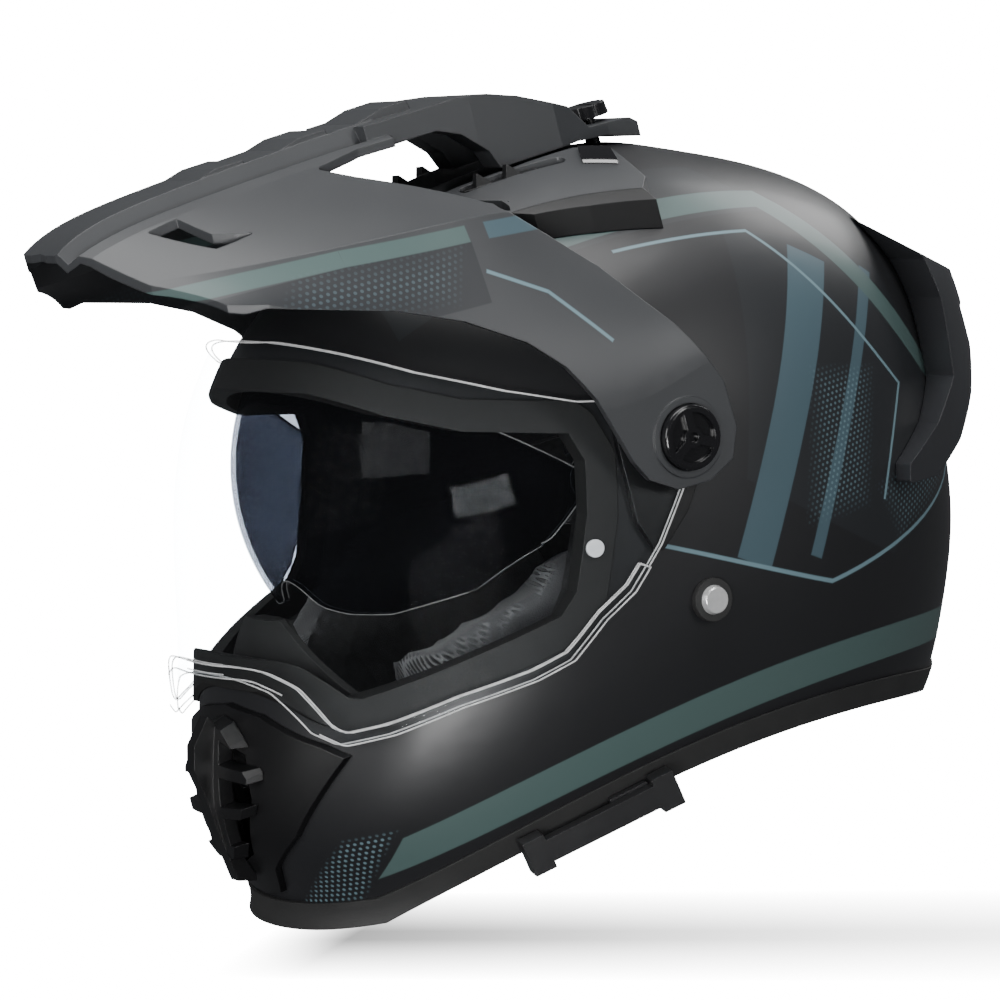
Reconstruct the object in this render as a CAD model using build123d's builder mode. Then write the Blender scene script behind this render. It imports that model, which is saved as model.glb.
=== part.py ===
from build123d import *
import os
from math import copysign, cos, pi, radians, sin

os.makedirs("parts", exist_ok=True)

# Dual sport helmet, in millimetres.
# X is the wearer's left, -Y is forward, Z is up. It rests on its rim, with the origin under its middle.

# Driving sizes of the shell
half_width = 117.0
front_reach = 170.0
rear_reach = 175.0
crown_height = 256.0
shell_wall = 4.0

# Rim: flat at the chin and the nape, arched over the shoulders
rim_arch = 26.0
rim_arch_front = 145.0
rim_arch_rear = 125.0
trim_height = 10.0
trim_grip = 5.0
trim_lip = 1.8
trim_depth = 9.0

# Side pivots of the peak and the face shield
pivot_y = -5.0
pivot_z = 154.0

# Clearances and other common small sizes
seat_gap = 0.2
soft_gap = 0.4
run_gap = 0.6
cut_overrun = 40.0
edge_break = 0.6

# Liners
foam_side = 27.0
foam_front = 24.0
foam_rear = 40.0
foam_crown = 30.0
pad_side = 14.0
pad_front = 12.0
pad_rear = 12.0
pad_crown = 12.0

# Face shield
shield_wall = 2.2
shield_side = 5.8
shield_front = 12.0
shield_crown = 10.0
shield_lip = 4.5
shield_lip_swell = 1.4
shield_ear_radius = 17.0

# Eyeport seal
seal_width = 4.0
seal_flange = 8.0
seal_flange_wall = 2.4
seal_depth = 5.0

# Side plates and screws
base_plate_wall = 2.6
pivot_boss_radius = 7.0
screw_radius = 12.5
screw_shank = 3.0
screw_head = 4.4
screw_seat_wall = 2.3
screw_lobe_radius = 3.2
screw_lobe_circle = 6.4
screw_hub_radius = 4.0
screw_recess = 1.6

# Peak
peak_wall = 3.0
peak_side = 125.5
ridge_half = 15.0
deck_half = 29.0
ridge_block_height = 3.4
ridge_block_length = 27.0
ridge_block_pitch = 38.0

# Crown screw, under the tail of the peak
tail_y = 62.0
crown_screw_radius = 9.0
crown_screw_head = 5.0
crown_screw_shank = 3.0
crown_screw_grip = 13.0

# Sections of the shell, from the rim to the crown, as shares of the driving sizes:
# height, half width, reach forward, reach back, and where the section is widest
section_shares = (
    (0.000, 0.820, 0.970, 0.775, 0.030),
    (0.117, 0.900, 0.994, 0.890, 0.030),
    (0.254, 0.972, 0.982, 0.968, 0.032),
    (0.390, 1.000, 0.912, 0.996, 0.036),
    (0.527, 0.996, 0.858, 1.000, 0.046),
    (0.664, 0.956, 0.794, 0.980, 0.068),
    (0.781, 0.850, 0.700, 0.890, 0.086),
    (0.879, 0.660, 0.562, 0.712, 0.094),
    (0.949, 0.432, 0.366, 0.502, 0.098),
    (0.977, 0.292, 0.206, 0.404, 0.110),
    (0.992, 0.172, 0.046, 0.312, 0.134),
    (0.998, 0.086, -0.058, 0.238, 0.150),
)
front_fullness = 2.24
rear_fullness = 2.12
ring_count = 20


def ring_point(angle, width, front, rear, middle):
    """A point of one section, between the widest line and the front or the back."""
    fullness = front_fullness if sin(angle) < 0 else rear_fullness
    across = copysign(abs(cos(angle)) ** (2 / fullness), cos(angle))
    along = abs(sin(angle)) ** (2 / fullness)
    reach = -(front + middle) if sin(angle) < 0 else rear - middle
    return (width * across, middle + reach * along)


def helmet_form(side=0.0, front=0.0, rear=0.0, crown=0.0):
    """The closed helmet shape, grown or shrunk by walls at the side, front, rear and crown."""
    width = half_width + side
    ahead = front_reach + front
    behind = rear_reach + rear
    height = crown_height + crown
    turns = [pi / 2 + 2 * pi * i / ring_count for i in range(ring_count)]
    with BuildPart() as form:
        for z, w, f, r, m in section_shares:
            ring = [ring_point(turn, w * width, f * ahead, r * behind, m * behind) for turn in turns]
            with BuildSketch(Plane.XY.offset(z * height)):
                with BuildLine():
                    Spline(*ring, periodic=True)
                make_face()
        loft()
    return form.part


def even_form(growth):
    """The helmet shape with the same wall added, or taken off, all round."""
    return helmet_form(growth, growth, growth, growth)


def skin(cutter, outer, inner):
    """The wall between two helmet shapes, within the cutter."""
    with BuildPart() as wall:
        add(cutter)
        add(outer, mode=Mode.INTERSECT)
        add(inner, mode=Mode.SUBTRACT)
    return wall.part


def side_places(shares):
    """Points of a side view: shares of the reach forward and of the crown's height."""
    return [(-ahead * front_reach, up * crown_height) for ahead, up in shares]


def side_slab(places, near, far, soften=0.0):
    """A flat outline in the side view, carried across from one x to another."""
    with BuildPart() as slab:
        with BuildSketch(Plane.YZ.offset(near)):
            with BuildLine():
                Polyline(*places, close=True)
            make_face()
            if soften:
                fillet(vertices(), soften)
        extrude(amount=far - near)
    return slab.part


def front_places(shares):
    """Points of a front view: shares of the half width and of the crown's height."""
    return [(across * half_width, up * crown_height) for across, up in shares]


def front_slab(places, near, far, soften=0.0):
    """A flat outline in the front view, carried forward from y = -near to y = -far."""
    with BuildPart() as slab:
        with BuildSketch(Plane.XZ.offset(near)):
            with BuildLine():
                Polyline(*places, close=True)
            make_face()
            if soften:
                fillet(vertices(), soften)
        extrude(amount=far - near)
    return slab.part


def helmet_place(shares):
    """One place: shares of the half width, of the reach forward and of the crown's height."""
    return (shares[0] * half_width, shares[1] * front_reach, shares[2] * crown_height)


def plan_places(shares):
    """Points of a top view: shares of the half width and of the reach forward."""
    return [(across * half_width, -ahead * front_reach) for across, ahead in shares]


def plan_slab(places, low, high, soften=0.0):
    """A flat outline in the top view, carried up from one height to another."""
    with BuildPart() as slab:
        with BuildSketch(Plane.XY.offset(low)):
            with BuildLine():
                Polyline(*places, close=True)
            make_face()
            if soften:
                fillet(vertices(), soften)
        extrude(amount=high - low)
    return slab.part


def mirrored(places):
    """Closes a half outline with its mirror image."""
    return list(places) + [(-x, z) for x, z in reversed(places) if x > 0]


def rim_below(lift):
    """Everything under the rim line, raised by the given amount."""
    reach = rear_reach + cut_overrun
    across = half_width + cut_overrun
    with BuildPart() as below:
        with BuildSketch(Plane.YZ.offset(-across)):
            with BuildLine():
                ThreePointArc(
                    (-rim_arch_front, lift),
                    ((rim_arch_rear - rim_arch_front) / 2, lift + rim_arch),
                    (rim_arch_rear, lift),
                )
                Polyline(
                    (rim_arch_rear, lift),
                    (reach, lift),
                    (reach, -cut_overrun),
                    (-reach, -cut_overrun),
                    (-reach, lift),
                    (-rim_arch_front, lift),
                )
            make_face()
        extrude(amount=2 * across)
    return below.part


def mirror_part(part):
    """The right hand piece of a left hand one."""
    return part.mirror(Plane.YZ)


def save(part, name):
    """Labels a finished piece and writes it under the same name."""
    part.label = name
    export_step(part, "parts/" + name + ".step")


across_all = half_width + cut_overrun

# Side view outlines, as shares of the reach forward and of the crown's height
eyeport_shares = (
    (1.00, 0.408), (0.893, 0.404), (0.878, 0.385), (0.845, 0.344), (0.810, 0.336), (0.60, 0.362),
    (0.39, 0.386), (0.335, 0.420), (0.262, 0.530), (0.228, 0.610), (0.246, 0.668),
    (0.460, 0.714), (0.570, 0.758), (0.650, 0.806), (1.00, 0.880),
)
shield_shares = (
    (1.15, 0.414), (0.964, 0.406), (0.940, 0.382), (0.918, 0.320), (0.888, 0.298), (0.800, 0.300),
    (0.660, 0.316), (0.500, 0.324), (0.412, 0.336), (0.320, 0.380), (0.240, 0.406),
    (0.147, 0.460), (0.050, 0.535), (0.029, 0.602), (0.070, 0.668), (0.235, 0.698), (0.370, 0.742),
    (0.510, 0.797), (0.600, 0.842), (0.660, 0.870), (0.80, 0.876), (1.15, 0.876),
)
eyeport_places = side_places(eyeport_shares)
shield_places = side_places(shield_shares)
eyeport_corner = 4.0
shield_corner = 3.0

# Outer shell
chin_intake_shares = ((0.0, 0.30), (0.14, 0.285), (0.17, 0.22), (0.10, 0.13), (0.0, 0.11))
strap_y = -7.0
strap_z = 89.0
strap_bolt_radius = 3.4
vent_hole_radius = 5.0
vent_hole_x = 34.0
vent_hole_y = -4.0
exhaust_hole_x = 56.0
exhaust_hole_z = 132.0
exhaust_hole_radius = 6.0
pivot_bolt_radius = screw_shank

# Chin vent shutter
shutter_half = 0.19 * half_width
shutter_low = 0.095 * crown_height
shutter_high = 0.245 * crown_height
shutter_setback = 10.0
shutter_y = front_reach - shell_wall - shutter_setback
shutter_wall = 2.0
shutter_travel = 9.0
shutter_rib_pitch = 10.0

# Chin strap
strap_width = 22.0
strap_wall = 2.0
strap_slot_depth = 21.0
strap_turn_z = 49.0

with BuildPart() as outer_shell:
    add(even_form(0))
    add(even_form(-shell_wall), mode=Mode.SUBTRACT)
    add(rim_below(trim_height - trim_grip), mode=Mode.SUBTRACT)
    add(side_slab(eyeport_places, -across_all, across_all, eyeport_corner), mode=Mode.SUBTRACT)
    add(
        front_slab(mirrored(front_places(chin_intake_shares)), front_reach / 2, front_reach + cut_overrun),
        mode=Mode.SUBTRACT,
    )
    with BuildSketch(Plane.YZ.offset(-across_all)):
        with Locations((strap_y, strap_z)):
            Circle(strap_bolt_radius + seat_gap)
        with Locations((pivot_y, pivot_z)):
            Circle(pivot_bolt_radius + seat_gap)
    extrude(amount=2 * across_all, mode=Mode.SUBTRACT)
    with BuildSketch(Plane.XY.offset(crown_height / 2)):
        with Locations((vent_hole_x, vent_hole_y), (-vent_hole_x, vent_hole_y)):
            Circle(vent_hole_radius)
        with Locations((0, tail_y)):
            Circle(crown_screw_shank + seat_gap)
    extrude(amount=crown_height, mode=Mode.SUBTRACT)
    with BuildSketch(Plane.XZ):
        with Locations((exhaust_hole_x, exhaust_hole_z), (-exhaust_hole_x, exhaust_hole_z)):
            Circle(exhaust_hole_radius)
    extrude(amount=-(rear_reach + cut_overrun), mode=Mode.SUBTRACT)
save(outer_shell.part, "outer_shell")

# Rim trim, gripping the lower edge of the shell
with BuildPart() as rim_band:
    add(rim_below(trim_height))
    add(rim_below(0), mode=Mode.SUBTRACT)
with BuildPart() as groove_band:
    add(rim_below(trim_height + cut_overrun))
    add(rim_below(trim_height - trim_grip - seat_gap), mode=Mode.SUBTRACT)
with BuildPart() as rim_trim:
    add(skin(rim_band.part, even_form(trim_lip), even_form(-trim_depth)))
    add(
        skin(groove_band.part, even_form(seat_gap), even_form(-shell_wall - seat_gap)),
        mode=Mode.SUBTRACT,
    )
save(rim_trim.part, "rim_trim")

# Sun visor, a shell of revolution about its own hinge so that it slides into its pocket
visor_hinge_y = -34.0
visor_hinge_z = 146.0
visor_half = 100.0
visor_radius = 90.0
visor_wall = 2.2
visor_top_angle = 43.0
visor_pocket_gap = 1.4
visor_backing = 9.0
visor_travel = 40.0
visor_low_angle = -38.0
visor_pin_radius = 3.0
visor_ear_radius = 9.0


def visor_form(growth):
    """The rounded body that the sun visor is a part of, grown by a wall."""
    with BuildPart() as form:
        with BuildSketch(Plane.XY.offset(visor_hinge_z)):
            with Locations((0, visor_hinge_y)):
                Ellipse(visor_half + growth, visor_radius + growth)
            with Locations((0, visor_hinge_y + visor_radius)):
                Rectangle(3 * visor_half, 2 * visor_radius, mode=Mode.SUBTRACT)
        revolve(axis=Axis((0, visor_hinge_y, visor_hinge_z), (1, 0, 0)))
    return form.part


def visor_wedge(low, high):
    """The space in front of the visor hinge between two angles above the level."""
    reach = 2 * front_reach
    angles = [low + (high - low) * i / 4 for i in range(5)]
    places = [(visor_hinge_y, visor_hinge_z)]
    places += [
        (visor_hinge_y - reach * cos(radians(a)), visor_hinge_z + reach * sin(radians(a))) for a in angles
    ]
    return side_slab(places, -across_all, across_all)


# Foam liner: a cap inside the shell, and a separate block in the chin bar
foam_opening_shares = (
    (1.20, 0.310), (0.90, 0.305), (0.60, 0.335), (0.37, 0.352), (0.300, 0.415), (0.215, 0.530),
    (0.180, 0.620), (0.205, 0.700), (0.440, 0.744), (0.570, 0.790), (0.650, 0.836), (1.20, 0.850),
)
foam_opening = side_places(foam_opening_shares)
foam_rise = 3.0
foam_lift = trim_height + foam_rise
foam_split_y = -62.0
foam_split_z = 0.38 * crown_height
foam_wall = shell_wall + soft_gap
chin_foam_depth = 16.0
rivet_pocket = 11.0
cavity = helmet_form(-foam_side, -foam_front, -foam_rear, -foam_crown)


def chin_block(gap):
    """The front lower corner of the helmet, where the chin bar is."""
    ahead = front_reach + cut_overrun
    places = (
        (foam_split_y - gap, -cut_overrun), (foam_split_y - gap, foam_split_z),
        (-ahead, foam_split_z), (-ahead, -cut_overrun),
    )
    return side_slab(places, -across_all, across_all)


with BuildPart() as eps_liner:
    add(even_form(-foam_wall))
    add(cavity, mode=Mode.SUBTRACT)
    add(rim_below(foam_lift), mode=Mode.SUBTRACT)
    add(side_slab(foam_opening, -across_all, across_all), mode=Mode.SUBTRACT)
    add(chin_block(0), mode=Mode.SUBTRACT)
    with BuildSketch(Plane.YZ.offset(-across_all)):
        with Locations((strap_y, strap_z)):
            Circle(rivet_pocket)
        with Locations((pivot_y, pivot_z)):
            Circle(2 * pivot_boss_radius)
        with Locations((visor_hinge_y, visor_hinge_z)):
            Circle(visor_ear_radius + run_gap)
    extrude(amount=2 * across_all, mode=Mode.SUBTRACT)
    with BuildSketch(Plane.XY.offset(-cut_overrun)):
        for side in (1, -1):
            with Locations((side * half_width, strap_y)):
                Rectangle(2 * strap_slot_depth, strap_width + 4 * soft_gap)
    extrude(amount=cut_overrun + strap_z + 1.2 * rivet_pocket, mode=Mode.SUBTRACT)
    with BuildSketch(Plane.XY.offset(-cut_overrun)):
        with Locations((0, strap_y)):
            Rectangle(2 * half_width, strap_width + 4 * soft_gap)
    extrude(amount=cut_overrun + strap_turn_z, mode=Mode.SUBTRACT)
visor_spare_angle = 5.0
visor_room_angle = visor_top_angle + visor_travel + visor_spare_angle
with BuildPart() as visor_space:
    add(visor_wedge(visor_low_angle, visor_room_angle))
    add(visor_form(-visor_wall - visor_pocket_gap), mode=Mode.SUBTRACT)
with BuildPart() as visor_front:
    add(visor_wedge(visor_low_angle, visor_room_angle))
    add(visor_form(-visor_wall - visor_pocket_gap - visor_backing), mode=Mode.SUBTRACT)
with BuildPart() as eps_liner_cut:
    add(eps_liner.part)
    add(visor_space.part, mode=Mode.SUBTRACT)
save(eps_liner_cut.part, "eps_liner")

with BuildPart() as chin_foam:
    add(even_form(-foam_wall))
    add(even_form(-foam_wall - chin_foam_depth), mode=Mode.SUBTRACT)
    add(chin_block(soft_gap), mode=Mode.INTERSECT)
    add(rim_below(foam_lift), mode=Mode.SUBTRACT)
    add(side_slab(foam_opening, -across_all, across_all), mode=Mode.SUBTRACT)
    add(
        front_slab(mirrored(front_places(chin_intake_shares)), front_reach / 2, front_reach + cut_overrun),
        mode=Mode.SUBTRACT,
    )
    shutter_room = shutter_high - shutter_low + shutter_travel + 2 * soft_gap
    with BuildSketch(Plane.XZ.offset(shutter_y - soft_gap)):
        with Locations((0, (shutter_low + shutter_high + shutter_travel) / 2)):
            Rectangle(2 * (shutter_half + soft_gap), shutter_room)
    extrude(amount=front_reach, mode=Mode.SUBTRACT)
save(chin_foam.part, "chin_foam")

# Comfort liner: crown pad, cheek pads, neck roll and chin curtain
crown_pad_floor = 0.485 * crown_height
cheek_pad_wall = 20.0
cheek_pad_shares = (
    (0.61, 0.36), (0.50, 0.40), (0.33, 0.445), (0.27, 0.475), (0.10, 0.470), (-0.18, 0.450),
    (-0.22, 0.30), (-0.15, 0.17), (0.20, 0.16), (0.52, 0.17), (0.64, 0.26),
)
pad_corner = 9.0
neck_roll_wall = 22.0
neck_roll_front = 14.0
curtain_wall = 2.0
curtain_rear = -92.0

with BuildPart() as crown_pad:
    add(
        helmet_form(
            -foam_side - soft_gap, -foam_front - soft_gap, -foam_rear - soft_gap, -foam_crown - soft_gap
        )
    )
    add(
        helmet_form(
            -foam_side - pad_side, -foam_front - pad_front, -foam_rear - pad_rear, -foam_crown - pad_crown
        ),
        mode=Mode.SUBTRACT,
    )
    with BuildSketch(Plane.XY.offset(crown_pad_floor)):
        Rectangle(3 * half_width, 3 * rear_reach)
    extrude(amount=-crown_height, mode=Mode.SUBTRACT)
    add(side_slab(foam_opening, -across_all, across_all), mode=Mode.SUBTRACT)
    add(visor_front.part, mode=Mode.SUBTRACT)
save(crown_pad.part, "crown_pad")

with BuildPart() as cheek_pad:
    add(
        skin(
            side_slab(side_places(cheek_pad_shares), 0, across_all, pad_corner),
            even_form(-foam_side - soft_gap),
            even_form(-foam_side - cheek_pad_wall),
        )
    )
save(cheek_pad.part, "cheek_pad_left")
save(mirror_part(cheek_pad.part), "cheek_pad_right")


def rim_ring(low, high, front, rear):
    """The band above the rim line between two lifts, and between two places along the helmet."""
    with BuildPart() as ring:
        with BuildSketch(Plane.XY.offset(-cut_overrun)):
            with Locations((0, (front + rear) / 2)):
                Rectangle(2 * across_all, rear - front)
        extrude(amount=crown_height)
        add(rim_below(high), mode=Mode.INTERSECT)
        add(rim_below(low), mode=Mode.SUBTRACT)
    return ring.part


neck_roll = skin(
    rim_ring(soft_gap, foam_lift - soft_gap, neck_roll_front, rear_reach + cut_overrun),
    even_form(-trim_depth - soft_gap),
    even_form(-trim_depth - neck_roll_wall),
)
save(neck_roll, "neck_roll")

chin_curtain = skin(
    rim_ring(soft_gap, foam_lift - soft_gap, -front_reach - cut_overrun, curtain_rear),
    even_form(-trim_depth - soft_gap),
    even_form(-trim_depth - soft_gap - curtain_wall),
)
save(chin_curtain, "chin_curtain")


def eyeport_band(outward, inward):
    """A band round the eyeport, from outside its edge to inside it, right across the helmet."""
    with BuildPart() as band:
        for growth, mode in ((outward, Mode.ADD), (-inward, Mode.SUBTRACT)):
            with BuildSketch(Plane.YZ.offset(-across_all)):
                with BuildLine():
                    Polyline(*eyeport_places, close=True)
                make_face()
                fillet(vertices(), eyeport_corner)
                offset(amount=growth)
            extrude(amount=2 * across_all, mode=mode)
    return band.part


# Eyeport seal: a lip in the opening with a flange over the shell
with BuildPart() as eyeport_seal:
    add(
        skin(
            eyeport_band(seal_flange, seat_gap + seal_width),
            even_form(seal_flange_wall),
            even_form(seat_gap),
        )
    )
    seal_band = eyeport_band(-seat_gap, seat_gap + seal_width)
    add(skin(seal_band, even_form(seal_flange_wall), even_form(-seal_depth)))
save(eyeport_seal.part, "eyeport_seal")

# Base plates that carry the shield at each side
base_plate_shares = (
    (0.158, 0.700), (0.174, 0.590), (0.180, 0.500), (0.150, 0.440),
    (0.050, 0.492), (-0.030, 0.560), (-0.044, 0.630), (-0.02, 0.700), (0.07, 0.720),
)
base_plate_lift = 0.3
boss_root = half_width - shell_wall
with BuildPart() as base_plate:
    add(
        skin(
            side_slab(side_places(base_plate_shares), 0, across_all, shield_corner),
            even_form(base_plate_wall + base_plate_lift),
            even_form(base_plate_lift),
        )
    )
    with BuildSketch(Plane.YZ.offset(boss_root + base_plate_wall)):
        with Locations((pivot_y, pivot_z)):
            Circle(pivot_boss_radius)
    extrude(amount=peak_side - peak_wall - seat_gap - boss_root - base_plate_wall)
    with BuildSketch(Plane.YZ):
        with Locations((pivot_y, pivot_z)):
            Circle(pivot_bolt_radius + seat_gap)
    extrude(amount=across_all, mode=Mode.SUBTRACT)
save(base_plate.part, "base_plate_left")
save(mirror_part(base_plate.part), "base_plate_right")


def shield_cutter(growth):
    """The side view of the face shield, right across the helmet."""
    with BuildPart() as cutter:
        with BuildSketch(Plane.YZ.offset(-across_all)):
            with BuildLine():
                Polyline(*shield_places, close=True)
            make_face()
            fillet(vertices(), shield_corner)
            with Locations((pivot_y, pivot_z)):
                Circle(shield_ear_radius)
            if growth:
                offset(amount=growth)
            with Locations((pivot_y, pivot_z)):
                Circle(pivot_boss_radius + seat_gap, mode=Mode.SUBTRACT)
        extrude(amount=2 * across_all)
    return cutter.part


def shield_form(growth):
    """The face shield's surface: close to the shell at the sides and well clear of it in front."""
    return helmet_form(
        shield_side + growth, shield_front + growth, shield_side + growth, shield_crown + growth
    )


# Face shield, with a thicker lip along its lower edge and a tab to lift it by
shield_tab_half = 16.0
shield_tab_reach = 9.0
shield_tab_wall = 3.0
with BuildPart() as shield_edge:
    add(shield_cutter(0))
    add(shield_cutter(-shield_lip), mode=Mode.SUBTRACT)
    with BuildSketch(Plane.XY.offset(0.46 * crown_height)):
        Rectangle(2 * across_all, 2 * rear_reach)
    extrude(amount=crown_height, mode=Mode.SUBTRACT)
    with BuildSketch(Plane.YZ.offset(-across_all)):
        with Locations((pivot_y, pivot_z)):
            Circle(3 * shield_ear_radius)
    extrude(amount=2 * across_all, mode=Mode.SUBTRACT)
with BuildPart() as face_shield:
    add(skin(shield_cutter(0), shield_form(0), shield_form(-shield_wall)))
    add(skin(shield_edge.part, shield_form(shield_lip_swell), shield_form(-shield_wall / 2)))
    with BuildSketch(Plane.XY.offset(0.412 * crown_height)):
        with BuildLine():
            Polyline(
                (-shield_tab_half, -front_reach + shield_front / 2),
                (-shield_tab_half / 2, -front_reach - shield_tab_reach),
                (shield_tab_half / 2, -front_reach - shield_tab_reach),
                (shield_tab_half, -front_reach + shield_front / 2),
                close=True,
            )
        make_face()
    extrude(amount=shield_tab_wall)
save(face_shield.part, "face_shield")

# Pins inside the shield for an anti-fog insert
insert_pin_y = -50.0
insert_pin_z = 124.0
insert_pin_radius = 3.4
insert_pin_length = 1.0
with BuildPart() as insert_pins:
    with BuildSketch(Plane.YZ.offset(half_width - 4 * insert_pin_radius)):
        with Locations((insert_pin_y, insert_pin_z)):
            Circle(insert_pin_radius)
    extrude(amount=across_all)
    add(shield_form(-shield_wall), mode=Mode.INTERSECT)
    add(shield_form(-shield_wall - insert_pin_length), mode=Mode.SUBTRACT)
    mirror(about=Plane.YZ)
save(insert_pins.part, "insert_pins")

# Chin panel over the front of the chin bar
chin_panel_wall = 3.0
chin_panel_shares = ((0.0, 0.352), (0.20, 0.340), (0.46, 0.292), (0.53, 0.272), (0.33, 0.160), (0.17, 0.105),
                     (0.10, 0.058), (0.0, 0.052))
grille_shares = ((0.0, 0.358), (0.085, 0.350), (0.165, 0.325), (0.285, 0.272), (0.290, 0.240), (0.225, 0.165),
                 (0.095, 0.098), (0.0, 0.088))
grille_stand = 9.0
grille_slope = 14.0
grille_window_shares = (
    ((0.055, 0.312), (0.165, 0.296), (0.225, 0.268), (0.060, 0.276)),
    ((0.062, 0.258), (0.240, 0.250), (0.225, 0.214), (0.066, 0.214)),
    ((0.068, 0.196), (0.205, 0.198), (0.165, 0.150), (0.066, 0.152)),
)
spine_half = 3.2
spine_shares = (
    (1.010, 0.348), (1.062, 0.312), (1.078, 0.276), (1.070, 0.248), (1.058, 0.160), (1.044, 0.090),
    (1.00, 0.080), (0.97, 0.16), (0.97, 0.30),
)
past_front = front_reach + cut_overrun
panel_front = front_slab(mirrored(front_places(chin_panel_shares)), front_reach / 2, past_front)
intake = front_slab(mirrored(front_places(chin_intake_shares)), front_reach / 2, past_front)
with BuildPart() as chin_panel:
    add(skin(panel_front, even_form(chin_panel_wall), even_form(seat_gap)))
    add(intake, mode=Mode.SUBTRACT)
    add(side_slab(eyeport_places, -across_all, across_all, eyeport_corner), mode=Mode.SUBTRACT)
    add(eyeport_band(seal_flange + seat_gap, 0), mode=Mode.SUBTRACT)
save(chin_panel.part, "chin_panel")

# Chin vent grille: a sloping frame with bars each side of a spine
with BuildPart() as chin_grille:
    with BuildSketch(Plane.XZ.offset(front_reach + grille_stand)):
        with BuildLine():
            Polyline(*mirrored(front_places(grille_shares)), close=True)
        make_face()
        offset(amount=-grille_stand)
    extrude(amount=-2 * grille_stand - grille_slope, taper=-grille_slope)
    add(even_form(grille_stand), mode=Mode.INTERSECT)
    add(even_form(chin_panel_wall + seat_gap), mode=Mode.SUBTRACT)
    for window in grille_window_shares:
        for side in (1, -1):
            add(
                front_slab(
                    [(side * x, z) for x, z in front_places(window)],
                    front_reach / 2, front_reach + cut_overrun,
                ),
                mode=Mode.SUBTRACT,
            )
with BuildPart() as grille_spine:
    add(side_slab(side_places(spine_shares), -spine_half, spine_half))
    add(even_form(chin_panel_wall + seat_gap), mode=Mode.SUBTRACT)
with BuildPart() as chin_grille_whole:
    add(chin_grille.part)
    add(grille_spine.part)
save(chin_grille_whole.part, "chin_vent_grille")

# Sliding shutter behind the chin vent, in a pocket of the chin foam
with BuildPart() as chin_shutter:
    with BuildSketch(Plane.XZ.offset(shutter_y)):
        with Locations((0, (shutter_low + shutter_high) / 2)):
            Rectangle(2 * shutter_half, shutter_high - shutter_low)
            with GridLocations(0, shutter_rib_pitch, 1, 3):
                Rectangle(1.2 * shutter_half, shutter_wall, mode=Mode.SUBTRACT)
    extrude(amount=shutter_wall)
    with BuildSketch(Plane.XZ.offset(shutter_y)):
        with Locations((0, (shutter_low + shutter_high) / 2)):
            Rectangle(shutter_half / 2, 1.5 * shutter_wall)
    extrude(amount=-3 * shutter_wall)
save(chin_shutter.part, "chin_vent_shutter")

# Breath deflector, standing on the chin foam behind the seal
deflector_shares = (
    (0.0, 0.440), (0.05, 0.456), (0.12, 0.458), (0.17, 0.440), (0.33, 0.380), (0.42, 0.345), (0.42, 0.330),
    (0.20, 0.320), (0.0, 0.314),
)
deflector_wall = 2.6
deflector_setback = 13.0
with BuildPart() as breath_deflector:
    add(
        skin(
            front_slab(mirrored(front_places(deflector_shares)), front_reach / 2, front_reach + cut_overrun),
            even_form(-deflector_setback),
            even_form(-deflector_setback - deflector_wall),
        )
    )
    add(
        skin(
            front_slab(
                mirrored(front_places(((0.055, 0.456), (0.12, 0.452), (0.30, 0.350), (0.24, 0.350)))),
                front_reach / 2, front_reach + cut_overrun,
            ),
            even_form(-deflector_setback),
            even_form(-deflector_setback - 2 * deflector_wall),
        )
    )
save(breath_deflector.part, "breath_deflector")

# Peak: a canopy with a raised ridge, deck, crease and side plates, drawn as sections along the helmet.
# Each row holds a place forward as a share of the reach, then heights as shares of the crown's height
# and widths as shares of the half width: ridge, deck, crease, side and lower side.
peak_rows = (
    (1.100, 1.092, 1.070, (0.325, 1.036), (0.440, 1.004), (0.530, 0.950)),
    (1.000, 1.117, 1.088, (0.410, 1.033), (0.513, 1.000), (0.600, 0.930)),
    (0.865, 1.128, 1.098, (0.530, 1.023), (0.630, 0.975), (0.690, 0.898)),
    (0.706, 1.133, 1.102, (0.667, 1.016), (0.775, 0.945), (0.840, 0.840)),
    (0.559, 1.136, 1.104, (0.760, 1.010), (0.885, 0.906), (0.955, 0.781)),
    (0.394, 1.138, 1.105, (0.812, 1.002), (0.950, 0.870), (1.034, 0.723)),
    (0.218, 1.138, 1.103, (0.808, 0.986), (0.968, 0.852), (1.070, 0.684)),
    (0.047, 1.130, 1.095, (0.780, 0.955), (0.962, 0.836), (1.077, 0.684)),
    (-0.155, 1.100, 1.070, (0.755, 0.915), (0.945, 0.812), (1.077, 0.684)),
)
peak_foot_share = 0.500
ridge_step = 3.5
groove_lip = 2.4
peak_keep_shares = (
    (1.16, 1.20), (1.16, 1.075), (1.050, 1.055), (0.976, 0.996), (0.900, 0.957), (0.820, 0.958),
    (0.585, 0.908), (0.455, 0.866), (0.340, 0.811), (0.274, 0.760), (0.228, 0.700), (0.178, 0.594),
    (0.150, 0.560),
    (0.085, 0.532), (0.000, 0.528), (-0.070, 0.548), (-0.098, 0.590), (-0.094, 0.664), (-0.066, 0.706),
    (-0.022, 0.766), (0.022, 0.812), (0.080, 0.875), (0.165, 0.942), (0.235, 0.994), (0.250, 1.20),
)
peak_plan_shares = (
    (0.0, 1.095), (0.100, 1.105), (0.430, 0.995), (0.610, 0.890), (0.680, 0.815), (1.20, 0.38), (1.20, -0.30),
    (0.0, -0.30),
)
window_shares = ((0.262, 0.470), (0.385, 0.420), (0.735, 0.246), (0.80, 0.18), (0.230, 0.18), (0.228, 0.340))
slot_shares = (
    (0.262, 0.915), (0.256, 0.835), (0.330, 0.818), (0.385, 0.805), (0.430, 0.765), (0.470, 0.726),
    (0.465, 0.780), (0.452, 0.825),
)


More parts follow.
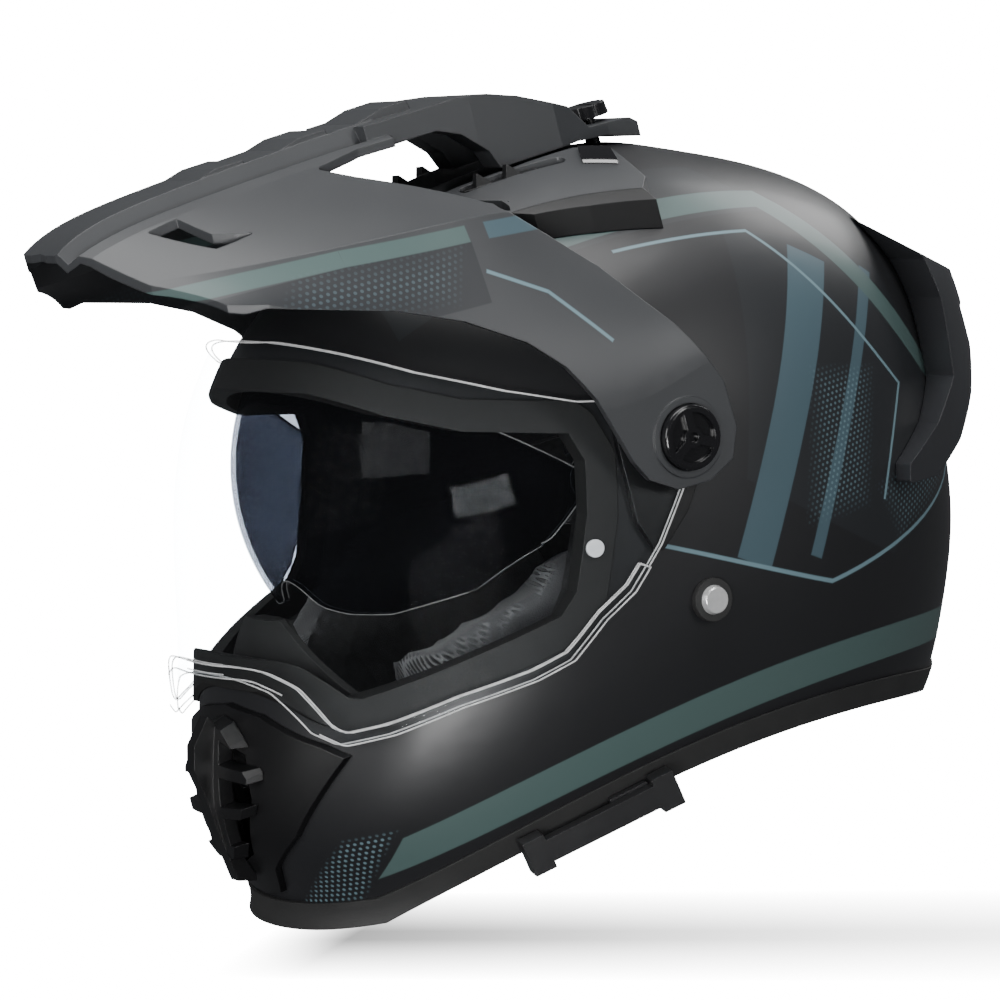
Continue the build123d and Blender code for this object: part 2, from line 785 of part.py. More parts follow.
def peak_flank(row, inward):
    """The crease and side of one peak section, from the crease down to its foot."""
    crease, side, low = row[3:]
    xs = [share[0] * half_width - inward for share in (crease, side, low)] + [low[0] * half_width - inward]
    zs = [share[1] * crown_height for share in (crease, side, low)] + [peak_foot_share * crown_height]
    zs[0] -= inward
    return list(zip(xs, zs))


def peak_top(row, down):
    """The ridge, groove and deck of one peak section, from the centre out to the crease."""
    ridge = row[1] * crown_height - down
    deck = row[2] * crown_height - down
    crease = peak_flank(row, down)[0]
    return [
        (ridge_half - down / 2, ridge),
        (ridge_half + ridge_step - down / 2, deck + edge_break),
        ((ridge_half + ridge_step + deck_half) / 2, deck + groove_lip),
        (deck_half - down / 2, deck),
        crease,
    ]


def flip(places):
    """The mirror image of places in a front view, in the other order."""
    return [(-x, z) for x, z in reversed(places)]


with BuildPart() as canopy:
    for row in peak_rows:
        with BuildSketch(Plane.XZ.offset(row[0] * front_reach)):
            with BuildLine():
                outer_side = peak_flank(row, 0)
                inner_side = peak_flank(row, peak_wall)
                outer_top = peak_top(row, 0)
                inner_top = peak_top(row, peak_wall)
                for edge, top in ((outer_side, outer_top), (inner_side, inner_top)):
                    Polyline(*(flip(top) + top))
                    for face in (edge, flip(edge)[::-1]):
                        fall = (face[1][0] - face[0][0], face[1][1] - face[0][1])
                        Spline(*face[:-1], tangents=[fall, (0, -1)])
                        Line(face[-2], face[-1])
                Line(inner_side[-1], outer_side[-1])
                Line(flip(inner_side)[0], flip(outer_side)[0])
            make_face()
    loft()
    add(side_slab(side_places(peak_keep_shares), -across_all, across_all), mode=Mode.INTERSECT)
    add(
        plan_slab(mirrored(plan_places(peak_plan_shares)), 0, 2 * crown_height),
        mode=Mode.INTERSECT,
    )
    for side in (1, -1):
        for shares, corner in ((window_shares, 3 * edge_break), (slot_shares, edge_break)):
            places = [(side * x, y) for x, y in plan_places(shares)]
            add(plan_slab(places, crown_height / 2, 2 * crown_height, corner), mode=Mode.SUBTRACT)

# Spine of the peak, with raised blocks, and the bridge down to the tail
bridge_half = 25.0
bridge_wall = 3.0
spine_top_shares = (
    (0.30, 1.136), (0.05, 1.134), (-0.03, 1.126), (-0.110, 1.108), (-0.245, 1.066), (-0.300, 1.022),
    (-0.430, 1.014), (-0.450, 1.004),
)
spine_low_shares = (
    (-0.450, 0.980), (-0.350, 1.000), (-0.250, 1.008), (-0.02, 1.010), (0.0, 1.040), (0.06, 1.078),
    (0.12, 1.095), (0.30, 1.098),
)
bridge_hollow_shares = (
    (-0.330, 0.90), (-0.330, 1.005), (-0.255, 1.048), (-0.110, 1.090), (-0.03, 1.100), (0.14, 1.098),
    (0.14, 0.90),
)
bridge_plan_shares = (
    (-0.20, 0.32), (0.20, 0.32), (0.212, 0.02), (0.20, -0.20), (0.130, -0.36), (0.115, -0.455),
)
tail_slot_length = 15.0
tail_slot_width = 7.0
with BuildPart() as bridge:
    add(side_slab(side_places(spine_top_shares + spine_low_shares), -bridge_half, bridge_half))
    add(
        plan_slab(
            plan_places(bridge_plan_shares[1:] + tuple((-x, y) for x, y in reversed(bridge_plan_shares[1:]))),
            0, 2 * crown_height,
        ),
        mode=Mode.INTERSECT,
    )
    add(
        side_slab(
            side_places(bridge_hollow_shares), -(ridge_half - bridge_wall), ridge_half - bridge_wall
        ),
        mode=Mode.SUBTRACT,
    )
    with BuildSketch(Plane.XY):
        with Locations((0, tail_y)):
            SlotOverall(tail_slot_length, tail_slot_width, rotation=90)
    extrude(amount=2 * crown_height, mode=Mode.SUBTRACT)
    add(even_form(run_gap * 2), mode=Mode.SUBTRACT)

block_start = -0.975 * front_reach
block_rise_share = 0.55
block_top_shares = (1.108, 1.127, 1.132, 1.136)
with BuildPart() as ridge_blocks:
    for number in range(4):
        near = block_start + number * ridge_block_pitch
        base = 1.09 * crown_height
        top = block_top_shares[number] * crown_height
        with BuildSketch(Plane.YZ.offset(-ridge_half + edge_break)):
            with BuildLine():
                Polyline(
                    (near, base),
                    (near, top),
                    (near + block_rise_share * ridge_block_length, top + ridge_block_height),
                    (near + ridge_block_length, top + ridge_block_height),
                    (near + ridge_block_length + ridge_block_height, base),
                    close=True,
                )
            make_face()
        extrude(amount=2 * (ridge_half - edge_break))

with BuildPart() as peak:
    add(canopy.part)
    add(bridge.part)
    add(ridge_blocks.part)
    for side in (1, -1):
        with BuildSketch(Plane.YZ.offset(side * (peak_side - screw_seat_wall))):
            with Locations((pivot_y, pivot_z)):
                Circle(screw_radius + peak_wall)
        extrude(amount=side * 1.5 * screw_seat_wall)
        with BuildSketch(Plane.YZ.offset(side * peak_side)):
            with Locations((pivot_y, pivot_z)):
                Circle(screw_radius + 2 * seat_gap)
        extrude(amount=side * screw_head, mode=Mode.SUBTRACT)
    with BuildSketch(Plane.YZ.offset(-across_all)):
        with Locations((pivot_y, pivot_z)):
            Circle(screw_shank + seat_gap)
    extrude(amount=2 * across_all, mode=Mode.SUBTRACT)
save(peak.part, "peak")

# Top vents: a housing on the crown at each side, with a slider, a scoop and a cap
vent_plan_shares = (
    (0.200, 0.175), (0.260, 0.225), (0.395, 0.180), (0.500, 0.095), (0.550, -0.060), (0.600, -0.210),
    (0.530, -0.258), (0.330, -0.270), (0.262, -0.200), (0.255, -0.020),
)
vent_mouth_shares = (
    (0.275, 0.200), (0.385, 0.165), (0.475, 0.090), (0.430, 0.070), (0.350, 0.125), (0.265, 0.165),
)
vent_rib_wall = 1.4
scoop_plan_shares = (
    (0.508, 0.110), (0.560, 0.065), (0.612, -0.060), (0.665, -0.215), (0.608, -0.212), (0.557, -0.060),
)
cap_plan_shares = ((0.290, -0.200), (0.385, -0.165), (0.440, -0.235), (0.345, -0.262))
vent_stand = 6.5
scoop_stand = 8.5
cap_stand = 1.6
vent_mouth_depth = 4.5
vent_rib_pitch = 9.0
vent_rib_share = 0.13
slider_x = 34.0
slider_y = 2.0
slider_turn = -9.0
slider_slot_length = 46.0
slider_slot_width = 5.6
slider_floor = 0.990 * crown_height
slider_travel = 12.0
slider_wall = 2.0
slider_lug_height = 5.0
slider_lug_length = 7.0
slider_lug_pitch = 13.0
slider_length = slider_slot_length - slider_travel - 2 * run_gap
slider_plane = Plane(
    origin=(slider_x, slider_y, slider_floor),
    x_dir=(sin(radians(-slider_turn)), cos(radians(slider_turn)), 0), z_dir=(0, 0, 1),
)
with BuildPart() as vent_mouth:
    add(
        skin(
            plan_slab(plan_places(vent_mouth_shares), crown_height / 2, 1.2 * crown_height),
            even_form(2 * vent_stand),
            even_form(vent_stand - vent_mouth_depth),
        )
    )
    with BuildSketch(Plane.YZ):
        with Locations((-vent_rib_share * front_reach, crown_height)):
            with GridLocations(vent_rib_pitch, 0, 3, 1):
                Rectangle(vent_rib_wall, 2 * vent_stand + crown_height / 4)
    extrude(amount=across_all, mode=Mode.SUBTRACT)
with BuildPart() as vent_housing:
    add(
        skin(
            plan_slab(plan_places(vent_plan_shares), crown_height / 2, 1.2 * crown_height, edge_break),
            even_form(vent_stand),
            even_form(seat_gap),
        )
    )
    add(vent_mouth.part, mode=Mode.SUBTRACT)
    with BuildSketch(slider_plane):
        SlotOverall(slider_slot_length, slider_slot_width)
    extrude(amount=crown_height, mode=Mode.SUBTRACT)
save(vent_housing.part, "top_vent_left")
save(mirror_part(vent_housing.part), "top_vent_right")

with BuildPart() as vent_slider:
    with BuildSketch(slider_plane.offset(seat_gap)):
        with Locations(((slider_length - slider_slot_length) / 2 + run_gap, 0)):
            SlotOverall(slider_length, slider_slot_width - 2 * seat_gap)
    extrude(amount=slider_wall)
    for place in (-0.5, 0.5):
        along = (slider_length - slider_slot_length) / 2 + place * slider_lug_pitch
        with BuildSketch(slider_plane.offset(seat_gap + slider_wall)):
            with Locations((along, 0)):
                Rectangle(slider_lug_length, slider_slot_width - 2 * seat_gap - edge_break)
        with BuildSketch(slider_plane.offset(seat_gap + slider_wall + slider_lug_height)):
            with Locations((along - slider_lug_length / 4, 0)):
                Rectangle(edge_break, slider_slot_width - 3 * edge_break)
        loft()
save(vent_slider.part, "vent_slider_left")
save(mirror_part(vent_slider.part), "vent_slider_right")

vent_scoop = skin(
    plan_slab(plan_places(scoop_plan_shares), crown_height / 2, 1.2 * crown_height),
    even_form(scoop_stand),
    even_form(seat_gap),
)
save(vent_scoop, "vent_scoop_left")
save(mirror_part(vent_scoop), "vent_scoop_right")

vent_cap = skin(
    plan_slab(plan_places(cap_plan_shares), crown_height / 2, 1.2 * crown_height),
    even_form(vent_stand + cap_stand),
    even_form(vent_stand + seat_gap),
)
with BuildPart() as vent_caps:
    add(vent_cap)
    add(mirror_part(vent_cap))
save(vent_caps.part, "vent_caps")

# Rear spoiler, with a louvred exhaust at each side of the back
spoiler_shares = (
    (-0.795, 0.800), (-0.895, 0.690), (-0.905, 0.625), (-0.860, 0.505), (-0.740, 0.455), (-0.600, 0.420),
    (-0.585, 0.392), (-0.694, 0.380), (-0.824, 0.410), (-0.941, 0.461), (-1.035, 0.527), (-1.100, 0.594),
    (-1.094, 0.640), (-0.941, 0.781), (-0.850, 0.826),
)
# Three places of each roof: the middle of the back, the upper front corner and the outer tip.
roof_middle_shares = (0.0, 0.882, 0.812)
roof_corner_shares = (0.487, 0.794, 0.782)
roof_tip_shares = (0.470, 1.100, 0.617)
spoiler_side = 6.0
spoiler_rear = 24.0
spoiler_crown = 7.0
louvre_inner = 38.0
louvre_outer = 64.0
louvre_low = 0.445 * crown_height
louvre_high = 0.585 * crown_height
louvre_depth = 12.0
louvre_count = 5
louvre_wall = 1.8
louvre_lean = 35.0
with BuildPart() as rear_spoiler:
    add(
        skin(
            side_slab(side_places(spoiler_shares), -across_all, across_all, 2 * edge_break),
            helmet_form(spoiler_side, spoiler_side, spoiler_rear, spoiler_crown),
            even_form(seat_gap),
        )
    )
    with BuildSketch(Plane.XZ.offset(-rear_reach - cut_overrun)):
        for side in (1, -1):
            with Locations((side * (louvre_inner + louvre_outer) / 2, (louvre_low + louvre_high) / 2)):
                RectangleRounded(louvre_outer - louvre_inner, louvre_high - louvre_low, 2 * edge_break)
    extrude(amount=rear_reach / 2 + cut_overrun, mode=Mode.SUBTRACT)
    for side in (1, -1):
        middle = Vector(*helmet_place(roof_middle_shares))
        corner = Vector(*helmet_place(roof_corner_shares))
        tip = Vector(*helmet_place(roof_tip_shares))
        corner.X, tip.X = side * corner.X, side * tip.X
        roof = (corner - middle).cross(tip - middle) * side
        with BuildSketch(Plane(origin=middle, x_dir=tip - middle, z_dir=roof)):
            Rectangle(4 * half_width, 4 * half_width)
        extrude(amount=crown_height, mode=Mode.SUBTRACT)
save(rear_spoiler.part, "rear_spoiler")

with BuildPart() as spoiler_louvres:
    for side in (1, -1):
        for number in range(louvre_count):
            height = louvre_low + (number + 0.5) * (louvre_high - louvre_low) / louvre_count
            with BuildSketch(Plane.YZ.offset(side * (louvre_inner + louvre_outer) / 2)):
                with Locations((rear_reach, height)):
                    Rectangle(rear_reach / 2, louvre_wall, rotation=-louvre_lean)
            extrude(amount=(louvre_outer - louvre_inner) / 2 - seat_gap, both=True)
    with BuildSketch(Plane.XZ.offset(-rear_reach - cut_overrun)):
        for side in (1, -1):
            with Locations((side * (louvre_inner + louvre_outer) / 2, (louvre_low + louvre_high) / 2)):
                Rectangle(louvre_outer - louvre_inner - 6 * seat_gap, louvre_high - louvre_low - 6 * seat_gap)
    extrude(amount=rear_reach / 2 + cut_overrun, mode=Mode.INTERSECT)
    add(
        helmet_form(spoiler_side - louvre_wall, spoiler_side, louvre_depth, spoiler_crown),
        mode=Mode.INTERSECT,
    )
    add(even_form(seat_gap), mode=Mode.SUBTRACT)
    add(side_slab(side_places(spoiler_shares), -across_all, across_all), mode=Mode.INTERSECT)
save(spoiler_louvres.part, "spoiler_louvres")

# Strap rivets and the rings under their heads
rivet_radius = 5.8
rivet_head = 2.2
rivet_ring_radius = 8.4
rivet_ring_wall = 1.6
rivet_seat = half_width + 2 * seat_gap
with BuildPart() as rivet_ring:
    with BuildSketch(Plane.YZ.offset(half_width - shell_wall / 2)):
        with Locations((strap_y, strap_z)):
            Circle(rivet_ring_radius)
            Circle(strap_bolt_radius + seat_gap, mode=Mode.SUBTRACT)
    extrude(amount=rivet_seat + rivet_ring_wall - half_width + shell_wall / 2)
    add(even_form(seat_gap), mode=Mode.SUBTRACT)
    mirror(about=Plane.YZ)
save(rivet_ring.part, "rivet_rings")
with BuildPart() as strap_rivet:
    with BuildSketch(Plane.YZ.offset(rivet_seat + rivet_ring_wall + edge_break / 6)):
        with Locations((strap_y, strap_z)):
            Circle(rivet_radius)
    extrude(amount=rivet_head, taper=20)
    fillet(strap_rivet.edges().sort_by(Axis.X)[-1], edge_break)
    with BuildSketch(Plane.YZ.offset(half_width - shell_wall - 2 * rivet_head)):
        with Locations((strap_y, strap_z)):
            Circle(strap_bolt_radius)
    extrude(amount=2 * rivet_head + shell_wall + rivet_ring_wall + 2 * seat_gap)
    mirror(about=Plane.YZ)
save(strap_rivet.part, "strap_rivets")

# Sun visor lens and the pins that it swings on
visor_edge_shares = (
    (0.0, 0.500), (0.060, 0.490), (0.130, 0.455), (0.240, 0.442), (0.410, 0.436), (0.640, 0.452),
    (0.800, 0.500), (1.0, 0.530), (1.0, 0.0), (0.0, 0.0),
)
visor_level = Plane(
    origin=(0, visor_hinge_y, visor_hinge_z),
    x_dir=(1, 0, 0),
    z_dir=(0, sin(radians(visor_low_angle)), cos(radians(visor_low_angle))),
)
lens_turns = [-87 + 14.5 * step for step in range(13)]
lens_outer = [(visor_half * sin(radians(turn)), -visor_radius * cos(radians(turn))) for turn in lens_turns]
lens_inner = [
    ((visor_half - visor_wall) * sin(radians(turn)), -(visor_radius - visor_wall) * cos(radians(turn)))
    for turn in lens_turns
]
with BuildPart() as sun_visor:
    with BuildSketch(visor_level):
        with BuildLine():
            outer_edge = Spline(*lens_outer)
            inner_edge = Spline(*lens_inner)
            Line(outer_edge @ 0, inner_edge @ 0)
            Line(outer_edge @ 1, inner_edge @ 1)
        make_face()
    revolve(
        axis=Axis((0, visor_hinge_y, visor_hinge_z), (-1, 0, 0)),
        revolution_arc=visor_top_angle - visor_low_angle,
    )
    add(
        front_slab(mirrored(front_places(visor_edge_shares)), -visor_hinge_y / 2, front_reach + cut_overrun),
        mode=Mode.SUBTRACT,
    )
    for side in (1, -1):
        with BuildSketch(Plane.YZ.offset(side * (visor_half - 2 * visor_wall))):
            with Locations((visor_hinge_y, visor_hinge_z)):
                Circle(visor_ear_radius)
        extrude(amount=side * (2 * visor_wall - 3 * seat_gap))
    with BuildSketch(Plane.YZ.offset(-across_all)):
        with Locations((visor_hinge_y, visor_hinge_z)):
            Circle(visor_pin_radius + seat_gap)
    extrude(amount=2 * across_all, mode=Mode.SUBTRACT)
save(sun_visor.part, "sun_visor")

with BuildPart() as visor_pins:
    with BuildSketch(Plane.YZ.offset(visor_half - 3 * visor_wall)):
        with Locations((visor_hinge_y, visor_hinge_z)):
            Circle(visor_pin_radius)
    extrude(amount=across_all)
    with BuildSketch(Plane.YZ.offset(visor_half + run_gap)):
        with Locations((visor_hinge_y, visor_hinge_z)):
            Circle(1.6 * visor_pin_radius)
    extrude(amount=across_all)
    add(even_form(-shell_wall - seat_gap), mode=Mode.INTERSECT)
    mirror(about=Plane.YZ)
save(visor_pins.part, "sun_visor_pins")

# Rail on the lower left edge, with the ribbed slider that works the sun visor
rail_front_shares = (0.829, -0.600, 0.0605)
rail_rear_shares = (0.987, -0.241, 0.0996)
rail_front = Vector(*helmet_place(rail_front_shares))
rail_rear = Vector(*helmet_place(rail_rear_shares))
rail_middle = (rail_front + rail_rear) / 2
rail_length = (rail_rear - rail_front).length
rail_height = 9.0
rail_wall = 3.0
rail_block_height = 14.0
rail_block_wall = 6.0
rail_tongue = 2.4
visor_slider_length = 16.0
visor_slider_height = 11.0
visor_slider_wall = 3.4
visor_slider_travel = 28.0
visor_slider_rib = 1.4
visor_slider_stand = 2 * seat_gap
rail_block_length = (rail_length - visor_slider_length - visor_slider_travel) / 2 - 2 * run_gap
rail_plane = Plane(
    origin=rail_middle, x_dir=rail_rear - rail_front, z_dir=(rail_rear - rail_front).cross(Vector(0, 0, -1))
)
slider_rest = rail_length / 2 - rail_block_length - visor_slider_length / 2 - run_gap
with BuildPart() as visor_rail:
    with BuildSketch(rail_plane.offset(-rail_wall)):
        Rectangle(rail_length, rail_height)
    extrude(amount=2 * rail_wall)
    with BuildSketch(rail_plane.offset(-rail_wall)):
        with GridLocations(rail_length - rail_block_length, 0, 2, 1):
            RectangleRounded(rail_block_length, rail_block_height, edge_break)
    extrude(amount=rail_wall + rail_block_wall)
    with BuildSketch(rail_plane.offset(rail_wall - rail_tongue / 2)):
        Rectangle(rail_length - 2 * rail_block_length, rail_tongue)
    extrude(amount=rail_tongue, mode=Mode.SUBTRACT)
    add(even_form(trim_lip + seat_gap), mode=Mode.SUBTRACT)
save(visor_rail.part, "visor_rail")

with BuildPart() as visor_slider:
    with BuildSketch(rail_plane.offset(rail_wall + visor_slider_stand)):
        with Locations((slider_rest, 0)):
            RectangleRounded(visor_slider_length, visor_slider_height, edge_break)
    extrude(amount=visor_slider_wall)
    with BuildSketch(rail_plane.offset(rail_wall + visor_slider_stand + visor_slider_wall)):
        with Locations((slider_rest, 0)):
            with GridLocations(visor_slider_length / 2 - visor_slider_rib, 0, 3, 1):
                Rectangle(visor_slider_rib, visor_slider_height - 2 * edge_break)
    extrude(amount=visor_slider_rib)
    with BuildSketch(rail_plane.offset(rail_wall - rail_tongue / 2 + seat_gap)):
        with Locations((slider_rest, 0)):
            Rectangle(visor_slider_length - 2 * edge_break, rail_tongue - 2 * seat_gap)
    extrude(amount=rail_tongue / 2 + visor_slider_stand + edge_break)
save(visor_slider.part, "visor_slider")

# Quarter-turn screws of the peak: two at the pivots and one on the crown
with BuildPart() as pivot_screw:
    with BuildSketch(Plane.YZ.offset(peak_side + seat_gap)):
        with Locations((pivot_y, pivot_z)):
            Circle(screw_radius)
    extrude(amount=screw_head)
    fillet(pivot_screw.edges().sort_by(Axis.X)[-1], 2 * edge_break)
    with BuildSketch(Plane.YZ.offset(peak_side + seat_gap + screw_head - screw_recess)):
        with Locations((pivot_y, pivot_z)):
            Circle(screw_lobe_circle + screw_lobe_radius)
            Circle(screw_hub_radius, mode=Mode.SUBTRACT)
            with PolarLocations(screw_lobe_circle, 3, start_angle=90):
                Rectangle(screw_lobe_circle, 1.2 * screw_lobe_radius, mode=Mode.SUBTRACT)
    extrude(amount=screw_head, mode=Mode.SUBTRACT)
    with BuildSketch(Plane.YZ.offset(peak_side + seat_gap + screw_head - screw_recess)):
        with Locations((pivot_y, pivot_z)):
            Circle(screw_hub_radius / 2)
    extrude(amount=screw_recess, mode=Mode.SUBTRACT)
    with BuildSketch(Plane.YZ.offset(half_width - 1.5 * shell_wall)):
        with Locations((pivot_y, pivot_z)):
            Circle(screw_shank)
    extrude(amount=peak_side - half_width + 1.5 * shell_wall + seat_gap)
save(pivot_screw.part, "peak_screw_left")
save(mirror_part(pivot_screw.part), "peak_screw_right")

crown_screw_seat = 1.028 * crown_height
with BuildPart() as crown_screw:
    with BuildSketch(Plane.XY.offset(crown_screw_seat)):
        with Locations((0, tail_y)):
            Circle(crown_screw_radius)
            with PolarLocations(crown_screw_radius, 8):
                Circle(edge_break, mode=Mode.SUBTRACT)
    extrude(amount=crown_screw_head, taper=8)
    with BuildSketch(Plane.XY.offset(crown_screw_seat + crown_screw_head - screw_recess)):
        with Locations((0, tail_y)):
            SlotOverall(1.3 * crown_screw_radius, screw_recess)
    extrude(amount=screw_recess, mode=Mode.SUBTRACT)
    with BuildSketch(Plane.XY.offset(crown_screw_seat - crown_screw_grip)):
        with Locations((0, tail_y)):
            Circle(crown_screw_shank)
    extrude(amount=crown_screw_grip)
save(crown_screw.part, "crown_screw")

# Chin strap: webbing from each rivet, a ratchet tongue and a buckle with its release lever
strap_seat = half_width - shell_wall - 2 * rivet_head - strap_wall / 2 - seat_gap
strap_path_shares = (
    (0.0, 0.392), (-0.006, 0.290), (-0.052, 0.180), (-0.100, 0.155), (-0.180, 0.138), (-0.340, 0.108),
    (-0.500, 0.084), (-0.680, 0.070),
)
buckle_length = 34.0
buckle_width = 24.0
buckle_height = 9.0
buckle_x = 12.0
buckle_z = 0.068 * crown_height
tongue_length = 52.0
tongue_width = 13.0
tongue_wall = 2.4
tooth_pitch = 3.0
tooth_count = 10
lever_wall = 2.2
lever_length = 26.0
lever_width = 17.0
lever_pin_radius = 1.4
strap_places = [(strap_seat + x * half_width, z * crown_height) for x, z in strap_path_shares]
with BuildPart() as chin_strap:
    with BuildSketch(Plane.XZ.offset(-strap_y - strap_width / 2)):
        with BuildLine():
            Spline(*strap_places)
        trace(line_width=strap_wall)
    extrude(amount=strap_width)
    with BuildSketch(Plane.YZ):
        with Locations((strap_y, strap_z)):
            Circle(strap_bolt_radius + seat_gap)
    extrude(amount=across_all, mode=Mode.SUBTRACT)
save(chin_strap.part, "chin_strap_left")
save(mirror_part(chin_strap.part), "chin_strap_right")

tongue_top = buckle_z + tongue_wall / 2
with BuildPart() as ratchet_tongue:
    with BuildSketch(Plane.XY.offset(buckle_z - tongue_wall / 2)):
        with Locations((buckle_x - tongue_length / 2 + buckle_length / 4, strap_y)):
            RectangleRounded(tongue_length, tongue_width, 2 * edge_break)
    extrude(amount=tongue_wall)
    for number in range(tooth_count):
        place = buckle_x + buckle_length / 4 - (number + 1.5) * tooth_pitch
        with BuildSketch(Plane.XZ.offset(-strap_y - tongue_width / 2 + 2 * edge_break)):
            with BuildLine():
                Polyline(
                    (place, tongue_top), (place + tooth_pitch, tongue_top),
                    (place + tooth_pitch, tongue_top + edge_break), close=True,
                )
            make_face()
        extrude(amount=tongue_width - 4 * edge_break)
    add(mirror_part(chin_strap.part), mode=Mode.SUBTRACT)
save(ratchet_tongue.part, "ratchet_tongue")

lever_pin_x = buckle_x + buckle_length / 2 - 2 * lever_wall
lever_pin_z = buckle_z + buckle_height / 2 + lever_wall
with BuildPart() as buckle_body:
    with BuildSketch(Plane.XZ.offset(-strap_y - buckle_width / 2)):
        with Locations((buckle_x, buckle_z)):
            RectangleRounded(buckle_length, buckle_height, 2 * edge_break)
        with Locations((lever_pin_x, lever_pin_z)):
            Circle(2 * lever_pin_radius)
    extrude(amount=buckle_width)
    with BuildSketch(Plane.YZ.offset(buckle_x - buckle_length)):
        with Locations((strap_y, buckle_z)):
            Rectangle(tongue_width + 2 * run_gap, tongue_wall + 4 * run_gap)
    extrude(amount=2 * buckle_length, mode=Mode.SUBTRACT)
    with BuildSketch(Plane.XY.offset(buckle_z + tongue_wall / 2 + edge_break)):
        with Locations((buckle_x, strap_y)):
            Rectangle(2 * buckle_length, lever_width + 2 * run_gap)
    extrude(amount=buckle_height, mode=Mode.SUBTRACT)
    with BuildSketch(Plane.XZ.offset(-strap_y - buckle_width)):
        with Locations((lever_pin_x, lever_pin_z)):
            Circle(lever_pin_radius + seat_gap / 4)
    extrude(amount=2 * buckle_width, mode=Mode.SUBTRACT)
    add(chin_strap.part, mode=Mode.SUBTRACT)
save(buckle_body.part, "buckle_body")

with BuildPart() as lever_pin:
    with BuildSketch(Plane.XZ.offset(-strap_y - buckle_width / 2)):
        with Locations((lever_pin_x, lever_pin_z)):
            Circle(lever_pin_radius)
    extrude(amount=buckle_width)
save(lever_pin.part, "lever_pin")

with BuildPart() as release_lever:
    with BuildSketch(Plane.XZ.offset(-strap_y - lever_width / 2)):
        with Locations((lever_pin_x - lever_length / 2, lever_pin_z)):
            RectangleRounded(lever_length, lever_wall, edge_break)
        with Locations((lever_pin_x, lever_pin_z)):
            Circle(1.8 * lever_pin_radius)
            Circle(lever_pin_radius + seat_gap, mode=Mode.SUBTRACT)
    extrude(amount=lever_width)
save(release_lever.part, "release_lever")
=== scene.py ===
"""Looks of a dual sport helmet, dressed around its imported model."""

import math

import bmesh
import bpy
from bpy.props import FloatProperty, FloatVectorProperty, IntProperty, PointerProperty
from mathutils import Matrix, Vector


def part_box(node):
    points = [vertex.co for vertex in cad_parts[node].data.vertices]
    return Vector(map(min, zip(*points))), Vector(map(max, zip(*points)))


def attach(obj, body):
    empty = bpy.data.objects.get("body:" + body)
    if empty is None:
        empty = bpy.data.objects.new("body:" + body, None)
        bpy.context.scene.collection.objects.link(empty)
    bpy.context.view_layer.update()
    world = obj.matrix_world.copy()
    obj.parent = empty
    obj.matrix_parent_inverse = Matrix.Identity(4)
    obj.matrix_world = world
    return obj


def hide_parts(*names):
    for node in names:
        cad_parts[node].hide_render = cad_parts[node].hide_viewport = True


bl_info = {
    "name": "Dual sport helmet",
    "version": (1, 0, 0),
    "blender": (4, 5, 0),
    "location": "View3D > Sidebar > Helmet",
    "description": "Paint, plastics, lenses, linings and small fittings of a dual sport helmet",
    "category": "Object",
}

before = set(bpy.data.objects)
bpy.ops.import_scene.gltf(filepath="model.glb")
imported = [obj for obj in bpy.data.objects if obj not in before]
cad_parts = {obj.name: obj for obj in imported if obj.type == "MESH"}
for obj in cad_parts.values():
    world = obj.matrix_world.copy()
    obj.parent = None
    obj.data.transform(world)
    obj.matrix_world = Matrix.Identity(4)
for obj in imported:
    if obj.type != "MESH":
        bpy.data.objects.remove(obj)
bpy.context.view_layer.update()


# Values and links in a material


BEVEL_SAMPLES = 4


def feed(tree, slot, value):
    """Links a wire to a socket, or sets the socket's own value."""
    if isinstance(value, Wire):
        tree.links.new(value.socket, slot)
    elif value is not None:
        slot.default_value = value


class Wire:
    """A number or a colour on its way through a material, with the usual arithmetic."""

    def __init__(self, tree, socket):
        self.tree = tree
        self.socket = socket

    def reckon(self, operation, *values, clamp=False):
        node = self.tree.nodes.new("ShaderNodeMath")
        node.operation = operation
        node.use_clamp = clamp
        for slot, value in zip(node.inputs, values):
            feed(self.tree, slot, value)
        return Wire(self.tree, node.outputs[0])

    def __add__(self, other):
        return self.reckon("ADD", self, other)

    __radd__ = __add__

    def __sub__(self, other):
        return self.reckon("SUBTRACT", self, other)

    def __rsub__(self, other):
        return self.reckon("SUBTRACT", other, self)

    def __mul__(self, other):
        return self.reckon("MULTIPLY", self, other)

    __rmul__ = __mul__

    def __truediv__(self, other):
        return self.reckon("DIVIDE", self, other)

    def __pow__(self, other):
        return self.reckon("POWER", self, other)

    def __neg__(self):
        return self * -1.0

    def __abs__(self):
        return self.reckon("ABSOLUTE", self)

    def least(self, other):
        return self.reckon("MINIMUM", self, other)

    def most(self, other):
        return self.reckon("MAXIMUM", self, other)

    def over(self, edge, soft):
        """One above the edge, nothing below it, with a soft step between."""
        return self.reckon("MULTIPLY_ADD", self - edge, 1.0 / soft, 0.5, clamp=True)

    def wave(self, pitch):
        """A place inside repeats of the pitch, from minus a half to a half."""
        return self.reckon("FRACT", self / pitch) - 0.5

    def sine(self, pitch):
        return self.reckon("SINE", self * (2 * math.pi / pitch))


